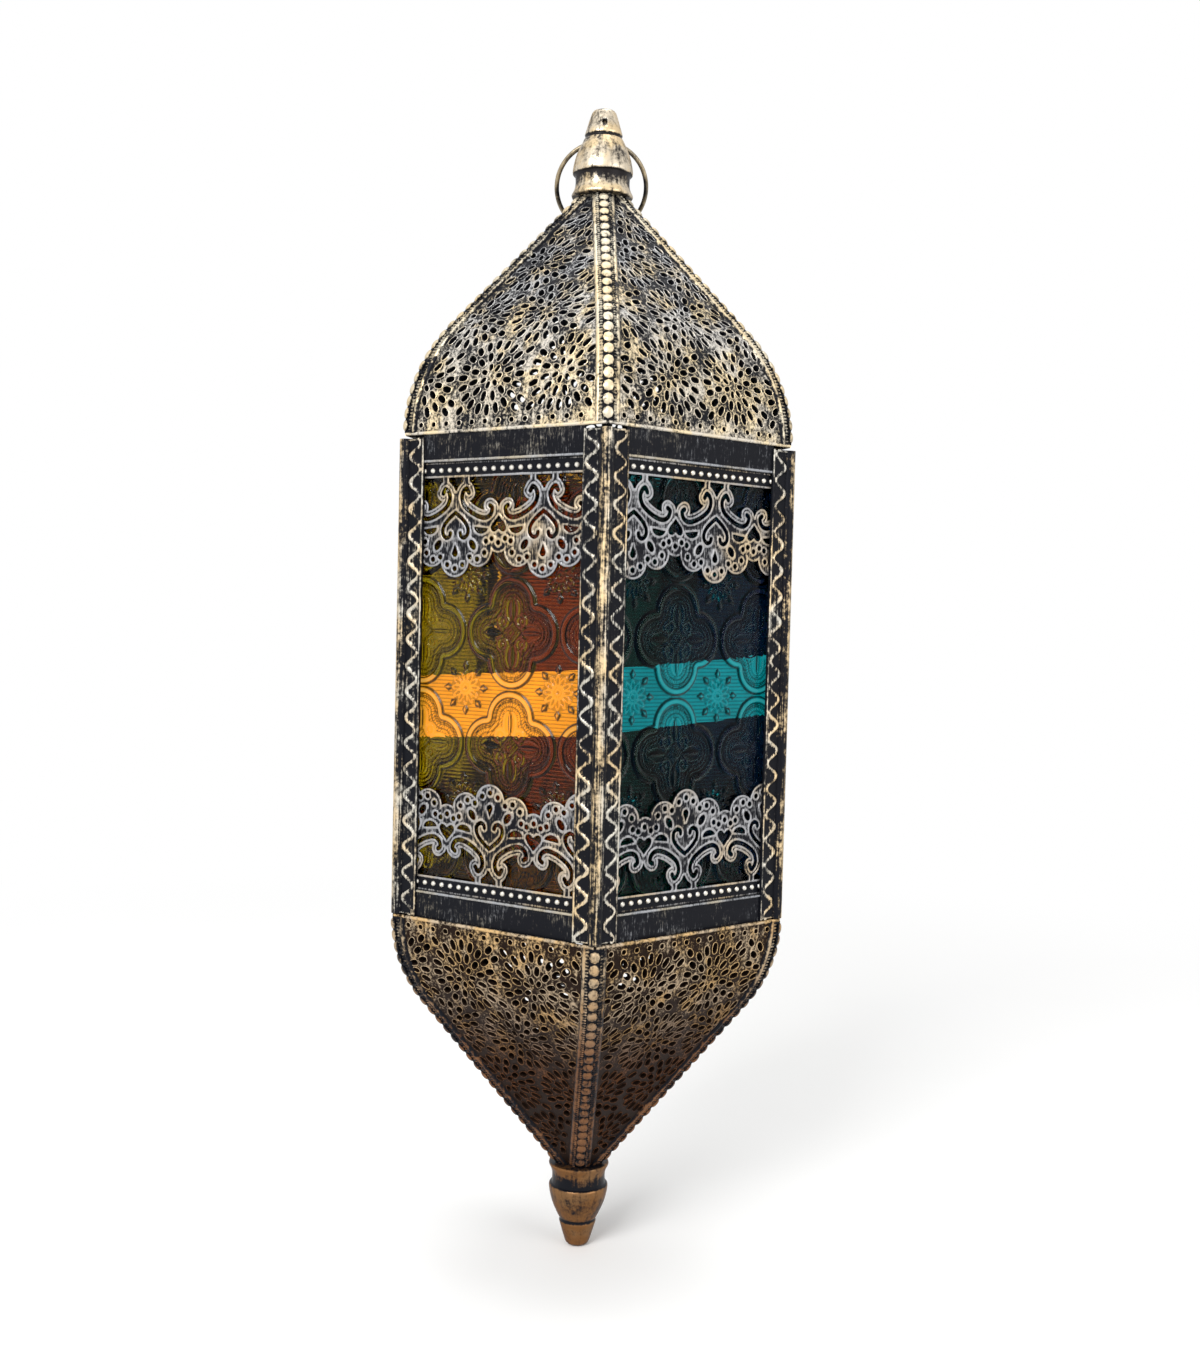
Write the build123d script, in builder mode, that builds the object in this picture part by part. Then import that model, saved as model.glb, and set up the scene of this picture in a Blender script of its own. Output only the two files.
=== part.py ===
"""A five-sided hanging lantern of pierced sheet metal and coloured pattern glass.

The origin is the pivot of the hanging ring in the top finial, on the lantern's axis, with +Z up.
One corner faces -Y, so that a flat face, the door, lies at the back on +Y.
"""

import os
from dataclasses import dataclass
from math import acos, atan2, cos, degrees, hypot, pi, radians, sin, sqrt, tan

from build123d import *

# Plan of the lantern
side_count = 5
front_corner_angle = -90.0
corner_names = ["front", "right", "back_right", "back_left", "left"]
face_names = ["front_right", "right", "back", "left", "front_left"]
door_face_index = 2
hinge_corner_index = 2
latch_corner_index = 3

# Heights
body_height = 198.0
roof_rise = 106.6
bowl_drop = 113.9
roof_gap = 2.4
bowl_gap = 1.3

# Sheet metal and glass
sheet = 0.8
pane_thickness = 3.0
seat_gap = 0.1
slide_gap = 0.3

# Corner posts
post_apothem = 69.1
post_flange = 10.9
post_bead_radius = 2.7
post_bead_proud = 1.6
door_post_flange = 8.5

# Bands above and below the glass
upper_rail_height = 10.2
lower_rail_height = 11.0
channel_lip_height = 5.0
channel_lip_slack = 1.1
tongue_width = 4.0
tongue_reach = 8.0

# Panes and lace strips
pane_half_width = 44.4
bead_strip_height = 6.3
lace_tuck = 3.0
upper_lace_depth = 40.3
lower_lace_depth = 39.0
lace_period = 43.7
lace_neck_width = 4.6
lace_neck_spread = 10.6
lobe_sides = 8
fan_hole_side = 2.0

# Pattern of the glass: four-lobed figures in a square grid, with a place for each face from its middle
pattern_depth = 0.75
pattern_margin = 4.0
pattern_inset = 55.0
figure_height = 0.45
figure_pitch = 45.6
figure_lobe_radius = 12.6
figure_lobe_offset = 10.85
figure_lobe_sides = 6
figure_overhang = 18.0
figure_grid = range(-3, 4)
figure_places = [(-9.2, 18.9), (3.0, 22.4), (0.0, 20.4), (12.0, 16.4), (5.4, 20.0)]

# Lace motif, as shares of the repeat, of the depth, and of the radius of a fan or a link
fan_share = 0.25
link_share = 0.2
link_level_share = 0.58
side_lobe_share = 0.62
side_lobe_spread = 0.9
side_lobe_lift = 0.35
heart_share = 0.4
heart_lift = 0.45
spade_share = 0.38
fan_hole_reach = 0.6

# Roof and bowl
roof_apothem = 68.4
roof_curve_radius = 78.4
roof_seat_apothem = 7.85
bowl_apothem = 69.5
bowl_curve_radius = 67.4
bowl_seat_apothem = 8.1
bend_count = 3
seam_gap = 0.4
rib_width = 4.9
rib_sheet = 0.9
petal_length = 7.0
petal_width = 4.0
petal_reach = 6.3
petals_per_rosette = 4
rosette_pitch = 31.0
rosette_row_pitch = 26.8
rosette_rows = 3
lowest_rosette = 19.0

# Finials
finial_height = 37.5
finial_bore_radius = 7.2
finial_sides = 16
flange_radius = 13.3
flange_thickness = 1.5
waist_radius = 11.7
waist_height = 6.2
bulge_radius = 13.0
bulge_height = 11.5
shoulder_radius = 11.4
shoulder_height = 18.5
neck_radius = 8.4
neck_height = 24.6
groove_depth = 0.6
groove_height = 1.2
tip_radius = 4.9
tip_rounding = 1.6
eye_height = 22.4
eye_hole_radius = 3.1

# Hanging ring
ring_outer_radius = 20.6
wire_radius = 1.0
ring_sides = 28
ring_rest_tilt = 32.0

# Door
door_gap = 0.8
door_end_gap = 1.4
door_stile = 5.0
door_tab_length = 6.0
door_tab_reach = 3.0

# Hinges, each a barrel on the post and a barrel on the door round one pin
hinge_pin_radius = 0.8
hinge_pin_clearance = 0.05
hinge_barrel_radius = 1.6
hinge_barrel_height = 7.0
hinge_barrel_gap = 0.3
hinge_axis_standoff = 1.9
hinge_leaf_width = 4.4
hinge_inset = 38.0

# Latch: a hook on the door that drops over a plain pin on the post
catch_pin_radius = 0.8
catch_pin_length = 2.5
catch_pin_from_flange_end = 2.5
hook_thickness = 1.0
hook_gap = 0.3
hook_arm_height = 3.6
hook_nose = 1.2
hook_throat_depth = 1.2
rivet_from_door_edge = 3.4
rivet_radius = 0.9
rivet_head_radius = 2.0
rivet_head_height = 0.8
rivet_seat_depth = 1.2
fit_clearance = 0.05
small_sides = 8

# Candle holder
candle_plate_thickness = 1.0
cup_radius = 21.0
cup_sides = 10
cup_height = 14.0
cup_wall = 0.8

# Levels worked out from the sizes above
half_angle = 180.0 / side_count
z_roof_seat = -eye_height
z_roof_foot = z_roof_seat - roof_rise
z_body_top = z_roof_foot - roof_gap
z_body_bottom = z_body_top - body_height
z_bowl_rim = z_body_bottom - bowl_gap
z_bowl_seat = z_bowl_rim - bowl_drop

# Layers of a face, as distances from the axis, from outside to inside
band_apothem = post_apothem - sheet
lace_apothem = band_apothem - sheet
glass_apothem = lace_apothem - sheet
glass_inner_apothem = glass_apothem - pane_thickness
lip_apothem = glass_inner_apothem - channel_lip_slack

face_half_width = post_apothem * tan(radians(half_angle))
pane_foot = z_body_bottom + sheet
pane_head = z_body_top - sheet - slide_gap

os.makedirs("parts", exist_ok=True)


def corner_angle(index):
    """Direction of a corner, in degrees."""
    return front_corner_angle + index * 2 * half_angle


def face_angle(index):
    """Direction square to a face, in degrees, half a step after its first corner."""
    return corner_angle(index) + half_angle


def polar(radius, angle, height=0.0):
    """A point at a radius and a direction round the axis."""
    return Vector(radius * cos(radians(angle)), radius * sin(radians(angle)), height)


def along(angle):
    """The level direction along a face, towards its second corner."""
    return polar(1.0, angle + 90.0)


def face_plane(angle, distance):
    """Plane of a face: x along the face, y up, normal outwards."""
    return Plane(origin=polar(distance, angle), x_dir=along(angle), z_dir=polar(1.0, angle))


def radial_plane(angle, level, upward):
    """Upright plane through the axis: x outwards, y up, or down for the bowl."""
    side = -1.0 if upward else 1.0
    return Plane(origin=(0, 0, level), x_dir=polar(1.0, angle), z_dir=along(angle) * side)


def save(piece, name):
    """Label a finished piece and write it to its own file."""
    piece.part.label = name
    export_step(piece.part, f"parts/{name}.step")


def save_turned(piece, index, name):
    """Write a copy of a piece made for the first side, turned to another side."""
    with BuildPart() as turned:
        add(piece.part.rotate(Axis.Z, index * 2 * half_angle))
    save(turned, name)


@dataclass
class PanelCurve:
    """Upright profile of a roof or bowl panel: bent over in short flats, then a straight slope."""

    apothem: float
    radius: float
    seat: float
    rise: float
    level: float
    upward: bool

    @property
    def slope(self):
        """Angle of the straight slope, which leaves the arc as its tangent and ends at the finial's seat."""
        inward = self.seat - self.apothem + self.radius
        return degrees(atan2(self.rise, inward) - acos(self.radius / hypot(inward, self.rise)))

    def bend(self, step, offset):
        """One corner of the bent stretch, on a surface that stands off the outer one."""
        turn = radians(self.slope * step / bend_count)
        reach = self.apothem - self.radius + (self.radius + offset) * cos(turn)
        return reach, (self.radius + offset) * sin(turn)

    def outline(self, offset):
        """Corners of the profile from the foot to the level where the finial sits."""
        points = [self.bend(step, offset) for step in range(bend_count + 1)]
        reach, height = points[-1]
        points.append((reach - (self.rise - height) * tan(radians(self.slope)), self.rise))
        return points

    def reach_at(self, height, offset):
        """Distance from the axis to a surface at a height above the foot."""
        points = self.outline(offset)
        for (near, low), (far, high) in zip(points, points[1:]):
            if height <= high:
                return near + (far - near) * (height - low) / (high - low)
        return points[-1][0]

    def section(self, inner, outer, angle, stretch):
        """Closed profile between two offsets, widened by a factor for a plane through a corner."""
        points = self.outline(inner) + self.outline(outer)[::-1]
        with BuildSketch(radial_plane(angle, self.level, self.upward)) as profile:
            Polygon(*[(stretch * reach, height) for reach, height in points], align=None)
        return profile.sketch

    def place(self, along_face, length, angle):
        """Plane on the outer surface, at a distance along the face and a length up the profile."""
        turn = min(length / self.radius, radians(self.slope))
        rest = length - self.radius * turn
        reach = self.apothem - self.radius * (1 - cos(turn)) - rest * sin(turn)
        height = self.radius * sin(turn) + rest * cos(turn)
        sign = 1.0 if self.upward else -1.0
        out = polar(cos(turn), angle, sign * sin(turn))
        origin = polar(reach, angle, self.level + sign * height) + along(angle) * along_face
        return Plane(origin=origin, x_dir=along(angle), z_dir=out)


roof_curve = PanelCurve(
    roof_apothem, roof_curve_radius, roof_seat_apothem, roof_rise, z_roof_foot, True
)
bowl_curve = PanelCurve(
    bowl_apothem, bowl_curve_radius, bowl_seat_apothem, bowl_drop, z_bowl_rim, False
)


def petal_planes(curve, angle):
    """One plane for each petal of the rosettes on a panel, x pointing away from the rosette's centre."""
    planes = []
    for row in range(rosette_rows):
        length = lowest_rosette + row * rosette_row_pitch
        across = rosette_rows - row
        for column in range(across):
            along_face = (column - (across - 1) / 2) * rosette_pitch
            for petal in range(petals_per_rosette):
                turn = (petal + 0.5) * 360.0 / petals_per_rosette
                reach = Vector(petal_reach, 0).rotate(Axis.Z, turn)
                spot = curve.place(along_face + reach.X, length + reach.Y, angle)
                planes.append(spot.rotated((0, 0, turn)))
    return planes


def make_panel(curve):
    """A pierced panel of the roof or bowl on the first face, cut back from its neighbours at both seams."""
    angle = face_angle(0)
    with BuildPart() as panel:
        extrude(curve.section(-sheet, 0.0, angle, 1.0), amount=face_half_width, both=True)
        for side in (-1, 1):
            seam = angle + side * half_angle
            across = along(seam) * -side
            split(bisect_by=Plane(origin=across * (seam_gap / 2), z_dir=across), keep=Keep.TOP)
        with BuildSketch(*petal_planes(curve, angle)):
            Polygon(
                (-petal_length / 2, 0),
                (petal_length / 2, -petal_width / 2),
                (petal_length / 2, petal_width / 2),
                align=None,
            )
        extrude(amount=2 * sheet, both=True, mode=Mode.SUBTRACT)
    return panel


def make_rib(curve):
    """A strip folded over the seam between two panels, at the first corner."""
    angle = corner_angle(0)
    profile = curve.section(seat_gap, seat_gap + rib_sheet, angle, 1.0 / cos(radians(half_angle)))
    with BuildPart() as rib:
        extrude(profile, amount=rib_width, dir=along(angle + half_angle))
        extrude(profile, amount=rib_width, dir=along(angle - half_angle) * -1)
    return rib


for part_name, curve in (("roof", roof_curve), ("bowl", bowl_curve)):
    panel = make_panel(curve)
    rib = make_rib(curve)
    for index in range(side_count):
        save_turned(panel, index, f"{part_name}_panel_{face_names[index]}")
        save_turned(rib, index, f"{part_name}_rib_{corner_names[index]}")


def flange_length(index, side):
    """Width of a post's flange: the two that face the door are narrower."""
    door_side = (index, side) in ((hinge_corner_index, 1), (latch_corner_index, -1))
    return door_post_flange if door_side else post_flange


catch_pin_at = face_half_width - door_post_flange + catch_pin_from_flange_end
latch_level = (z_body_top + z_body_bottom) / 2
catch_axis = face_plane(face_angle(door_face_index), band_apothem)


def make_post(index):
    """A corner post: a strip folded along the corner with a half-round bead on the fold."""
    angle = corner_angle(index)
    fold = polar(post_apothem / cos(radians(half_angle)), angle)
    bead_reach = fold.length + post_bead_proud - post_bead_radius
    ends = []
    for side in (1, -1):
        ends.append(fold + along(angle + side * half_angle) * (side * flange_length(index, side)))
    inner = [end - polar(sheet, angle + side * half_angle) for end, side in zip(ends, (1, -1))]
    with BuildPart() as post:
        with BuildSketch(Plane.XY.offset(z_body_bottom)):
            Polygon(ends[0], fold, ends[1], inner[1], inner[0], align=None)
            with Locations(polar(bead_reach, angle)):
                Circle(post_bead_radius)
            RegularPolygon(
                band_apothem, side_count, major_radius=False, rotation=front_corner_angle, mode=Mode.SUBTRACT
            )
        extrude(amount=body_height)
        if index == latch_corner_index:
            with BuildSketch(catch_axis):
                with Locations((catch_pin_at, latch_level)):
                    RegularPolygon(catch_pin_radius + fit_clearance, small_sides)
            extrude(amount=sheet, mode=Mode.SUBTRACT)
    save(post, f"corner_post_{corner_names[index]}")


for index in range(side_count):
    make_post(index)


def ring_sketch(level, outer, inner):
    """A five-sided ring between two distances from the axis, drawn on a level."""
    with BuildSketch(Plane.XY.offset(level)) as ring:
        RegularPolygon(outer, side_count, major_radius=False, rotation=front_corner_angle)
        RegularPolygon(
            inner, side_count, major_radius=False, rotation=front_corner_angle, mode=Mode.SUBTRACT
        )
    return ring.sketch


door_opening_half = face_half_width - door_post_flange


def make_band(name, level, upward, rail_height, curve, gap):
    """A channel that runs round the body, with tongues at the corners that hold the roof or bowl."""
    into = -1.0 if upward else 1.0
    tongue_face = curve.reach_at(tongue_reach, -sheet) / cos(radians(half_angle))
    tongue_outer = tongue_face - tan(radians(half_angle)) * tongue_width / 2 - seat_gap
    with BuildPart() as band:
        extrude(ring_sketch(level, band_apothem, lip_apothem - sheet), amount=into * sheet)
        extrude(ring_sketch(level, band_apothem, lace_apothem), amount=into * rail_height)
        extrude(
            ring_sketch(level, lip_apothem, lip_apothem - sheet), amount=into * (sheet + channel_lip_height)
        )
        with BuildSketch(face_plane(face_angle(door_face_index), lace_apothem)):
            with Locations((0, level + into * (sheet + rail_height) / 2)):
                Rectangle(2 * door_opening_half, rail_height - sheet)
        extrude(amount=sheet, mode=Mode.SUBTRACT)
        with BuildSketch(Plane.XY.offset(level)):
            for index in range(side_count):
                angle = corner_angle(index)
                with Locations(Location(polar(tongue_outer - sheet / 2, angle), angle)):
                    Rectangle(sheet, tongue_width)
        extrude(amount=-into * (gap + tongue_reach))
    save(band, name)


make_band("upper_band", z_body_top, True, upper_rail_height, roof_curve, roof_gap)
make_band("lower_band", z_body_bottom, False, lower_rail_height, bowl_curve, bowl_gap)

door_half_width = door_opening_half - door_gap
door_foot = z_body_bottom + door_end_gap
door_head = z_body_top - door_end_gap
door_pane_half_width = door_half_width - sheet - slide_gap


def figure_centres(place, field_half, field_height):
    """Centres of the figures that reach into a pane's pattern, measured from the pane's middle."""
    columns = [place[0] + step * figure_pitch for step in figure_grid]
    rows = [place[1] + step * figure_pitch for step in figure_grid]
    reach_along = field_half + figure_overhang
    reach_up = field_height / 2 + figure_overhang
    return [(x, y) for x in columns for y in rows if abs(x) < reach_along and abs(y) < reach_up]


def make_pane(half_width, foot, head, place):
    """A pane of pattern glass on the first face, with raised four-lobed figures between the lace strips."""
    middle = (foot + head) / 2
    ground = pane_thickness - pattern_depth
    field_half = half_width - pattern_margin
    field_height = head - foot - 2 * pattern_inset
    lobes = [
        Location((x, middle + y)) * Location((0, 0), quarter) * Location((figure_lobe_offset, 0))
        for x, y in figure_centres(place, field_half, field_height)
        for quarter in (0.0, 90.0, 180.0, 270.0)
    ]
    with BuildPart() as pane:
        with BuildSketch(face_plane(face_angle(0), glass_inner_apothem)):
            with Locations((0, middle)):
                Rectangle(2 * half_width, head - foot)
        extrude(amount=ground)
        with BuildSketch(face_plane(face_angle(0), glass_inner_apothem + ground)):
            with Locations(*lobes):
                RegularPolygon(figure_lobe_radius, figure_lobe_sides, rotation=180.0 / figure_lobe_sides)
            with Locations((0, middle)):
                Rectangle(2 * field_half, field_height, mode=Mode.INTERSECT)
        extrude(amount=figure_height)
    return pane


def make_lace(half_width, edge, into, depth):
    """A stamped strip on the first face: a beaded border with scalloped fans that hang from it."""
    border = edge + into * bead_strip_height
    tip = border + into * depth
    fan_radius = lace_period * fan_share
    fan_centre = tip - into * fan_radius
    side_lobe_centre = fan_centre - into * fan_radius * side_lobe_lift
    heart_centre = fan_centre - into * fan_radius * heart_lift
    link_radius = lace_period * link_share
    link_centre = border + into * depth * link_level_share
    fans = [column * lace_period for column in (-1, 0, 1)]
    links = [fans[0] - lace_period / 2] + [fan + lace_period / 2 for fan in fans]
    sides = [fan + side * fan_radius * side_lobe_spread for fan in fans for side in (-1, 1)]
    necks = [fan + side * lace_neck_spread / 2 for fan in fans for side in (-1, 1)]
    with BuildPart() as lace:
        with BuildSketch(face_plane(face_angle(0), glass_apothem)):
            with Locations((0, (edge - into * lace_tuck + border) / 2)):
                Rectangle(2 * half_width, bead_strip_height + lace_tuck)
            with Locations(*[(fan, fan_centre) for fan in fans]):
                RegularPolygon(fan_radius, lobe_sides, rotation=90)
            with Locations(*[(side, side_lobe_centre) for side in sides]):
                RegularPolygon(fan_radius * side_lobe_share, lobe_sides, rotation=90)
            with Locations(*[(link, link_centre) for link in links]):
                RegularPolygon(link_radius, lobe_sides, rotation=90)
            with Locations(*[(neck, (border + fan_centre) / 2) for neck in necks]):
                Rectangle(lace_neck_width, abs(fan_centre - border) + sheet)
            with Locations(*[(fan, heart_centre) for fan in fans]):
                RegularPolygon(fan_radius * heart_share, 3, rotation=into * 90.0, mode=Mode.SUBTRACT)
            with Locations(*[(link, link_centre) for link in links]):
                RegularPolygon(link_radius * spade_share, 3, rotation=-into * 90.0, mode=Mode.SUBTRACT)
            with Locations(*[(fan, fan_centre + into * fan_radius * fan_hole_reach) for fan in fans]):
                Rectangle(fan_hole_side, fan_hole_side, rotation=45, mode=Mode.SUBTRACT)
            with Locations((0, (edge - into * lace_tuck + tip) / 2)):
                Rectangle(2 * half_width, abs(tip - edge) + lace_tuck, mode=Mode.INTERSECT)
        extrude(amount=sheet)
    return lace


upper_edge = z_body_top - upper_rail_height
lower_edge = z_body_bottom + lower_rail_height
fixed_faces = [index for index in range(side_count) if index != door_face_index]
door_pane_foot = door_foot + sheet + slide_gap
door_pane_head = door_head - sheet - slide_gap
for width, foot, head, faces in (
    (pane_half_width, pane_foot, pane_head, fixed_faces),
    (door_pane_half_width, door_pane_foot, door_pane_head, [door_face_index]),
):
    upper_lace = make_lace(width, upper_edge, -1.0, upper_lace_depth)
    lower_lace = make_lace(width, lower_edge, 1.0, lower_lace_depth)
    for index in faces:
        pane = make_pane(width, foot, head, figure_places[index])
        save_turned(pane, index, f"glass_pane_{face_names[index]}")
        save_turned(upper_lace, index, f"upper_lace_{face_names[index]}")
        save_turned(lower_lace, index, f"lower_lace_{face_names[index]}")

# Door frame with its hinge barrels
hinge_axis_along = -(door_opening_half + door_half_width) / 2
hinge_axis_out = post_apothem + hinge_axis_standoff
hinge_levels = [door_foot + hinge_inset, door_head - hinge_inset]
door_angle = face_angle(door_face_index)
hinge_axis = polar(hinge_axis_out, door_angle) + along(door_angle) * hinge_axis_along
rivet_along = door_half_width - rivet_from_door_edge
frame_sheet = post_apothem - lace_apothem


def hinge_half(level, toward):
    """A hinge barrel round the pin with its leaf, on one side of the hinge line."""
    with BuildPart() as half:
        with BuildSketch(Plane.XY.offset(level)):
            with Locations(hinge_axis):
                RegularPolygon(hinge_barrel_radius, small_sides)
        extrude(amount=hinge_barrel_height)
        with BuildSketch(face_plane(door_angle, post_apothem)):
            with Locations(
                (hinge_axis_along + toward * hinge_leaf_width / 2, level + hinge_barrel_height / 2)
            ):
                Rectangle(hinge_leaf_width, hinge_barrel_height)
        extrude(amount=sheet)
        with BuildSketch(Plane.XY.offset(level)):
            with Locations(hinge_axis):
                Circle(hinge_pin_radius + hinge_pin_clearance)
        extrude(amount=hinge_barrel_height, mode=Mode.SUBTRACT)
    return half.part


door_barrels = [hinge_half(level + hinge_barrel_height + hinge_barrel_gap, 1.0) for level in hinge_levels]
post_barrels = [hinge_half(level, -1.0) for level in hinge_levels]

with BuildPart() as door_frame:
    with BuildSketch(face_plane(door_angle, lace_apothem)):
        with Locations((0, (door_foot + door_head) / 2)):
            Rectangle(2 * door_half_width, door_head - door_foot)
        window_foot = z_body_bottom + lower_rail_height
        window_head = z_body_top - upper_rail_height
        with Locations((0, (window_foot + window_head) / 2)):
            Rectangle(2 * (door_half_width - door_stile), window_head - window_foot, mode=Mode.SUBTRACT)
    extrude(amount=frame_sheet)
    with BuildSketch(face_plane(door_angle, lace_apothem)):
        with Locations((0, (door_foot + door_head) / 2)):
            Rectangle(2 * door_half_width, door_head - door_foot)
            Rectangle(
                2 * (door_half_width - sheet), door_head - door_foot - 2 * sheet, mode=Mode.SUBTRACT
            )
    extrude(amount=-(glass_apothem - glass_inner_apothem + sheet + slide_gap + sheet))
    with BuildSketch(face_plane(door_angle, glass_inner_apothem - slide_gap)):
        for side in (-1, 1):
            for level in hinge_levels:
                with Locations((side * (door_half_width - door_tab_reach / 2), level)):
                    Rectangle(door_tab_reach, door_tab_length)
    extrude(amount=-sheet)
    with BuildSketch(face_plane(door_angle, post_apothem)):
        with Locations((rivet_along, latch_level)):
            Circle(rivet_radius + fit_clearance)
    extrude(amount=-rivet_seat_depth, mode=Mode.SUBTRACT)
    add(door_barrels)
save(door_frame, "door_frame")

with BuildPart() as hinge_leaves:
    add(post_barrels)
save(hinge_leaves, "hinge_leaves")

with BuildPart() as hinge_pins:
    for level in hinge_levels:
        with BuildSketch(Plane.XY.offset(level)):
            with Locations(hinge_axis):
                Circle(hinge_pin_radius)
        extrude(amount=2 * hinge_barrel_height + hinge_barrel_gap)
save(hinge_pins, "hinge_pins")

# Latch hook, its rivet on the door and the plain pin on the post
hook_plane = face_plane(door_angle, post_apothem + hook_gap)
throat_half = catch_pin_radius + hook_gap
hook_end = catch_pin_at + throat_half + hook_nose
with BuildPart() as latch_hook:
    with BuildSketch(hook_plane):
        with Locations((rivet_along, latch_level)):
            RegularPolygon(hook_arm_height / 2, small_sides)
        with Locations(((rivet_along + hook_end) / 2, latch_level + throat_half)):
            Rectangle(hook_end - rivet_along, hook_arm_height / 2)
        with Locations(((rivet_along + hook_end) / 2, latch_level)):
            Rectangle(hook_end - rivet_along, 2 * hook_throat_depth)
        with Locations((catch_pin_at, latch_level - hook_throat_depth)):
            Rectangle(2 * throat_half, 2 * (throat_half + hook_throat_depth), mode=Mode.SUBTRACT)
        with Locations((rivet_along, latch_level)):
            Circle(rivet_radius + 2 * fit_clearance, mode=Mode.SUBTRACT)
    extrude(amount=hook_thickness)
save(latch_hook, "latch_hook")

with BuildPart() as latch_rivet:
    with BuildSketch(face_plane(door_angle, post_apothem - rivet_seat_depth)):
        with Locations((rivet_along, latch_level)):
            Circle(rivet_radius)
    extrude(amount=rivet_seat_depth + 2 * hook_gap + hook_thickness)
    with BuildSketch(face_plane(door_angle, post_apothem + 2 * hook_gap + hook_thickness)):
        with Locations((rivet_along, latch_level)):
            RegularPolygon(rivet_head_radius, small_sides)
    extrude(amount=rivet_head_height)
save(latch_rivet, "latch_rivet")

with BuildPart() as catch_pin:
    with BuildSketch(catch_axis):
        with Locations((catch_pin_at, latch_level)):
            RegularPolygon(catch_pin_radius, small_sides)
    extrude(amount=sheet + catch_pin_length)
save(catch_pin, "catch_pin")

# Finials: hollow and spun, with a flange, waist, bulge, neck with a groove, and a blunt tip
groove_top = neck_height + groove_height
finial_rings = [
    (0.0, flange_radius),
    (flange_thickness, flange_radius),
    (waist_height, waist_radius),
    (bulge_height, bulge_radius),
    (shoulder_height, shoulder_radius),
    (neck_height, neck_radius),
    (groove_top, neck_radius - groove_depth),
    (groove_top + groove_height, neck_radius),
    (finial_height - tip_rounding, tip_radius),
    (finial_height, tip_radius - tip_rounding),
]
roof_seat = Plane.XY.offset(z_roof_seat)
with BuildPart() as finial:
    for (low, radius), (high, next_radius) in zip(finial_rings, finial_rings[1:]):
        with BuildSketch(roof_seat.offset(low)):
            RegularPolygon(radius, finial_sides)
        narrowing = (radius - next_radius) * cos(pi / finial_sides)
        extrude(amount=high - low, taper=degrees(atan2(narrowing, high - low)))
    with BuildSketch(roof_seat):
        RegularPolygon(finial_bore_radius, finial_sides)
    extrude(amount=groove_top, mode=Mode.SUBTRACT)

with BuildPart() as top_finial:
    add(finial.part)
    with BuildSketch(Plane.YZ):
        RegularPolygon(eye_hole_radius, small_sides)
    extrude(amount=flange_radius, both=True, mode=Mode.SUBTRACT)
save(top_finial, "top_finial")

with BuildPart() as bottom_finial:
    mirror(finial.part, about=Plane.XY.offset((z_roof_seat + z_bowl_seat) / 2))
save(bottom_finial, "bottom_finial")

# Hanging ring, threaded through the finial and lying back on the roof
ring_radius = ring_outer_radius - wire_radius
eye_wall_radius = neck_radius
ring_drop = sqrt(ring_radius**2 - eye_wall_radius**2)
tilt = radians(ring_rest_tilt)
ring_centre = Vector(0, ring_drop * sin(tilt), -ring_drop * cos(tilt))
ring_plane = Plane(origin=ring_centre, x_dir=(1, 0, 0), z_dir=(0, cos(tilt), sin(tilt)))
with BuildPart() as hanging_ring:
    with BuildSketch(ring_plane.offset(-wire_radius)):
        RegularPolygon(ring_outer_radius, ring_sides)
        RegularPolygon(ring_outer_radius - 2 * wire_radius, ring_sides, mode=Mode.SUBTRACT)
    extrude(amount=2 * wire_radius)
    flats = hanging_ring.faces().sort_by(Axis(ring_centre, ring_plane.z_dir))
    chamfer(flats[0].edges() + flats[-1].edges(), length=wire_radius * (2 - sqrt(2)))
save(hanging_ring, "hanging_ring")

# Candle plate on the lower channel's lip, and the cup on it
plate_level = z_body_bottom + sheet + channel_lip_height
with BuildPart() as candle_plate:
    with BuildSketch(Plane.XY.offset(plate_level)):
        RegularPolygon(lip_apothem, side_count, major_radius=False, rotation=front_corner_angle)
    extrude(amount=candle_plate_thickness)
save(candle_plate, "candle_plate")

with BuildPart() as candle_cup:
    with BuildSketch(Plane.XY.offset(plate_level + candle_plate_thickness)):
        RegularPolygon(cup_radius, cup_sides)
    extrude(amount=cup_height)
    offset(amount=-cup_wall, openings=candle_cup.faces().sort_by(Axis.Z)[-1])
save(candle_cup, "candle_cup")
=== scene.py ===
"""Looks of a five-sided hanging lantern of pierced sheet metal and coloured pattern glass.

Every piece is worked out in millimetres in the frame of the solids: the origin is the pivot of the hanging ring,
+Z is up, one corner faces -Y and the door faces +Y. Meshes are written in metres.
"""

import logging
import math
from dataclasses import dataclass, field
from enum import Enum

import bpy
import numpy as np
from mathutils import Matrix, Vector
from mathutils.geometry import delaunay_2d_cdt


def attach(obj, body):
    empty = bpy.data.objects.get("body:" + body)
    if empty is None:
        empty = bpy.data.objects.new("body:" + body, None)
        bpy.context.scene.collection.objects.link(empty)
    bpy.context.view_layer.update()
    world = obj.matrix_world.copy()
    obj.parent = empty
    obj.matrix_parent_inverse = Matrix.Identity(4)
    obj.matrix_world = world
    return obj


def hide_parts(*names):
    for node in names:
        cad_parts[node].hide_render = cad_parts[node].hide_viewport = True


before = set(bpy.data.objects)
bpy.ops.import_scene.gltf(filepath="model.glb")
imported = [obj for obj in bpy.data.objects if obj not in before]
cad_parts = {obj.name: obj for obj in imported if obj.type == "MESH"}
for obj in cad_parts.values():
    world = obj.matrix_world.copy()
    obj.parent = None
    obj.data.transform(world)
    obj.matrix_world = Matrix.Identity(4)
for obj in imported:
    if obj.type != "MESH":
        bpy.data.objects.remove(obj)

log = logging.getLogger("lantern")
MM = 0.001
SIDE_COUNT = 5
STEP = 360.0 / SIDE_COUNT
TAN_HALF = math.tan(math.radians(STEP / 2))
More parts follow.
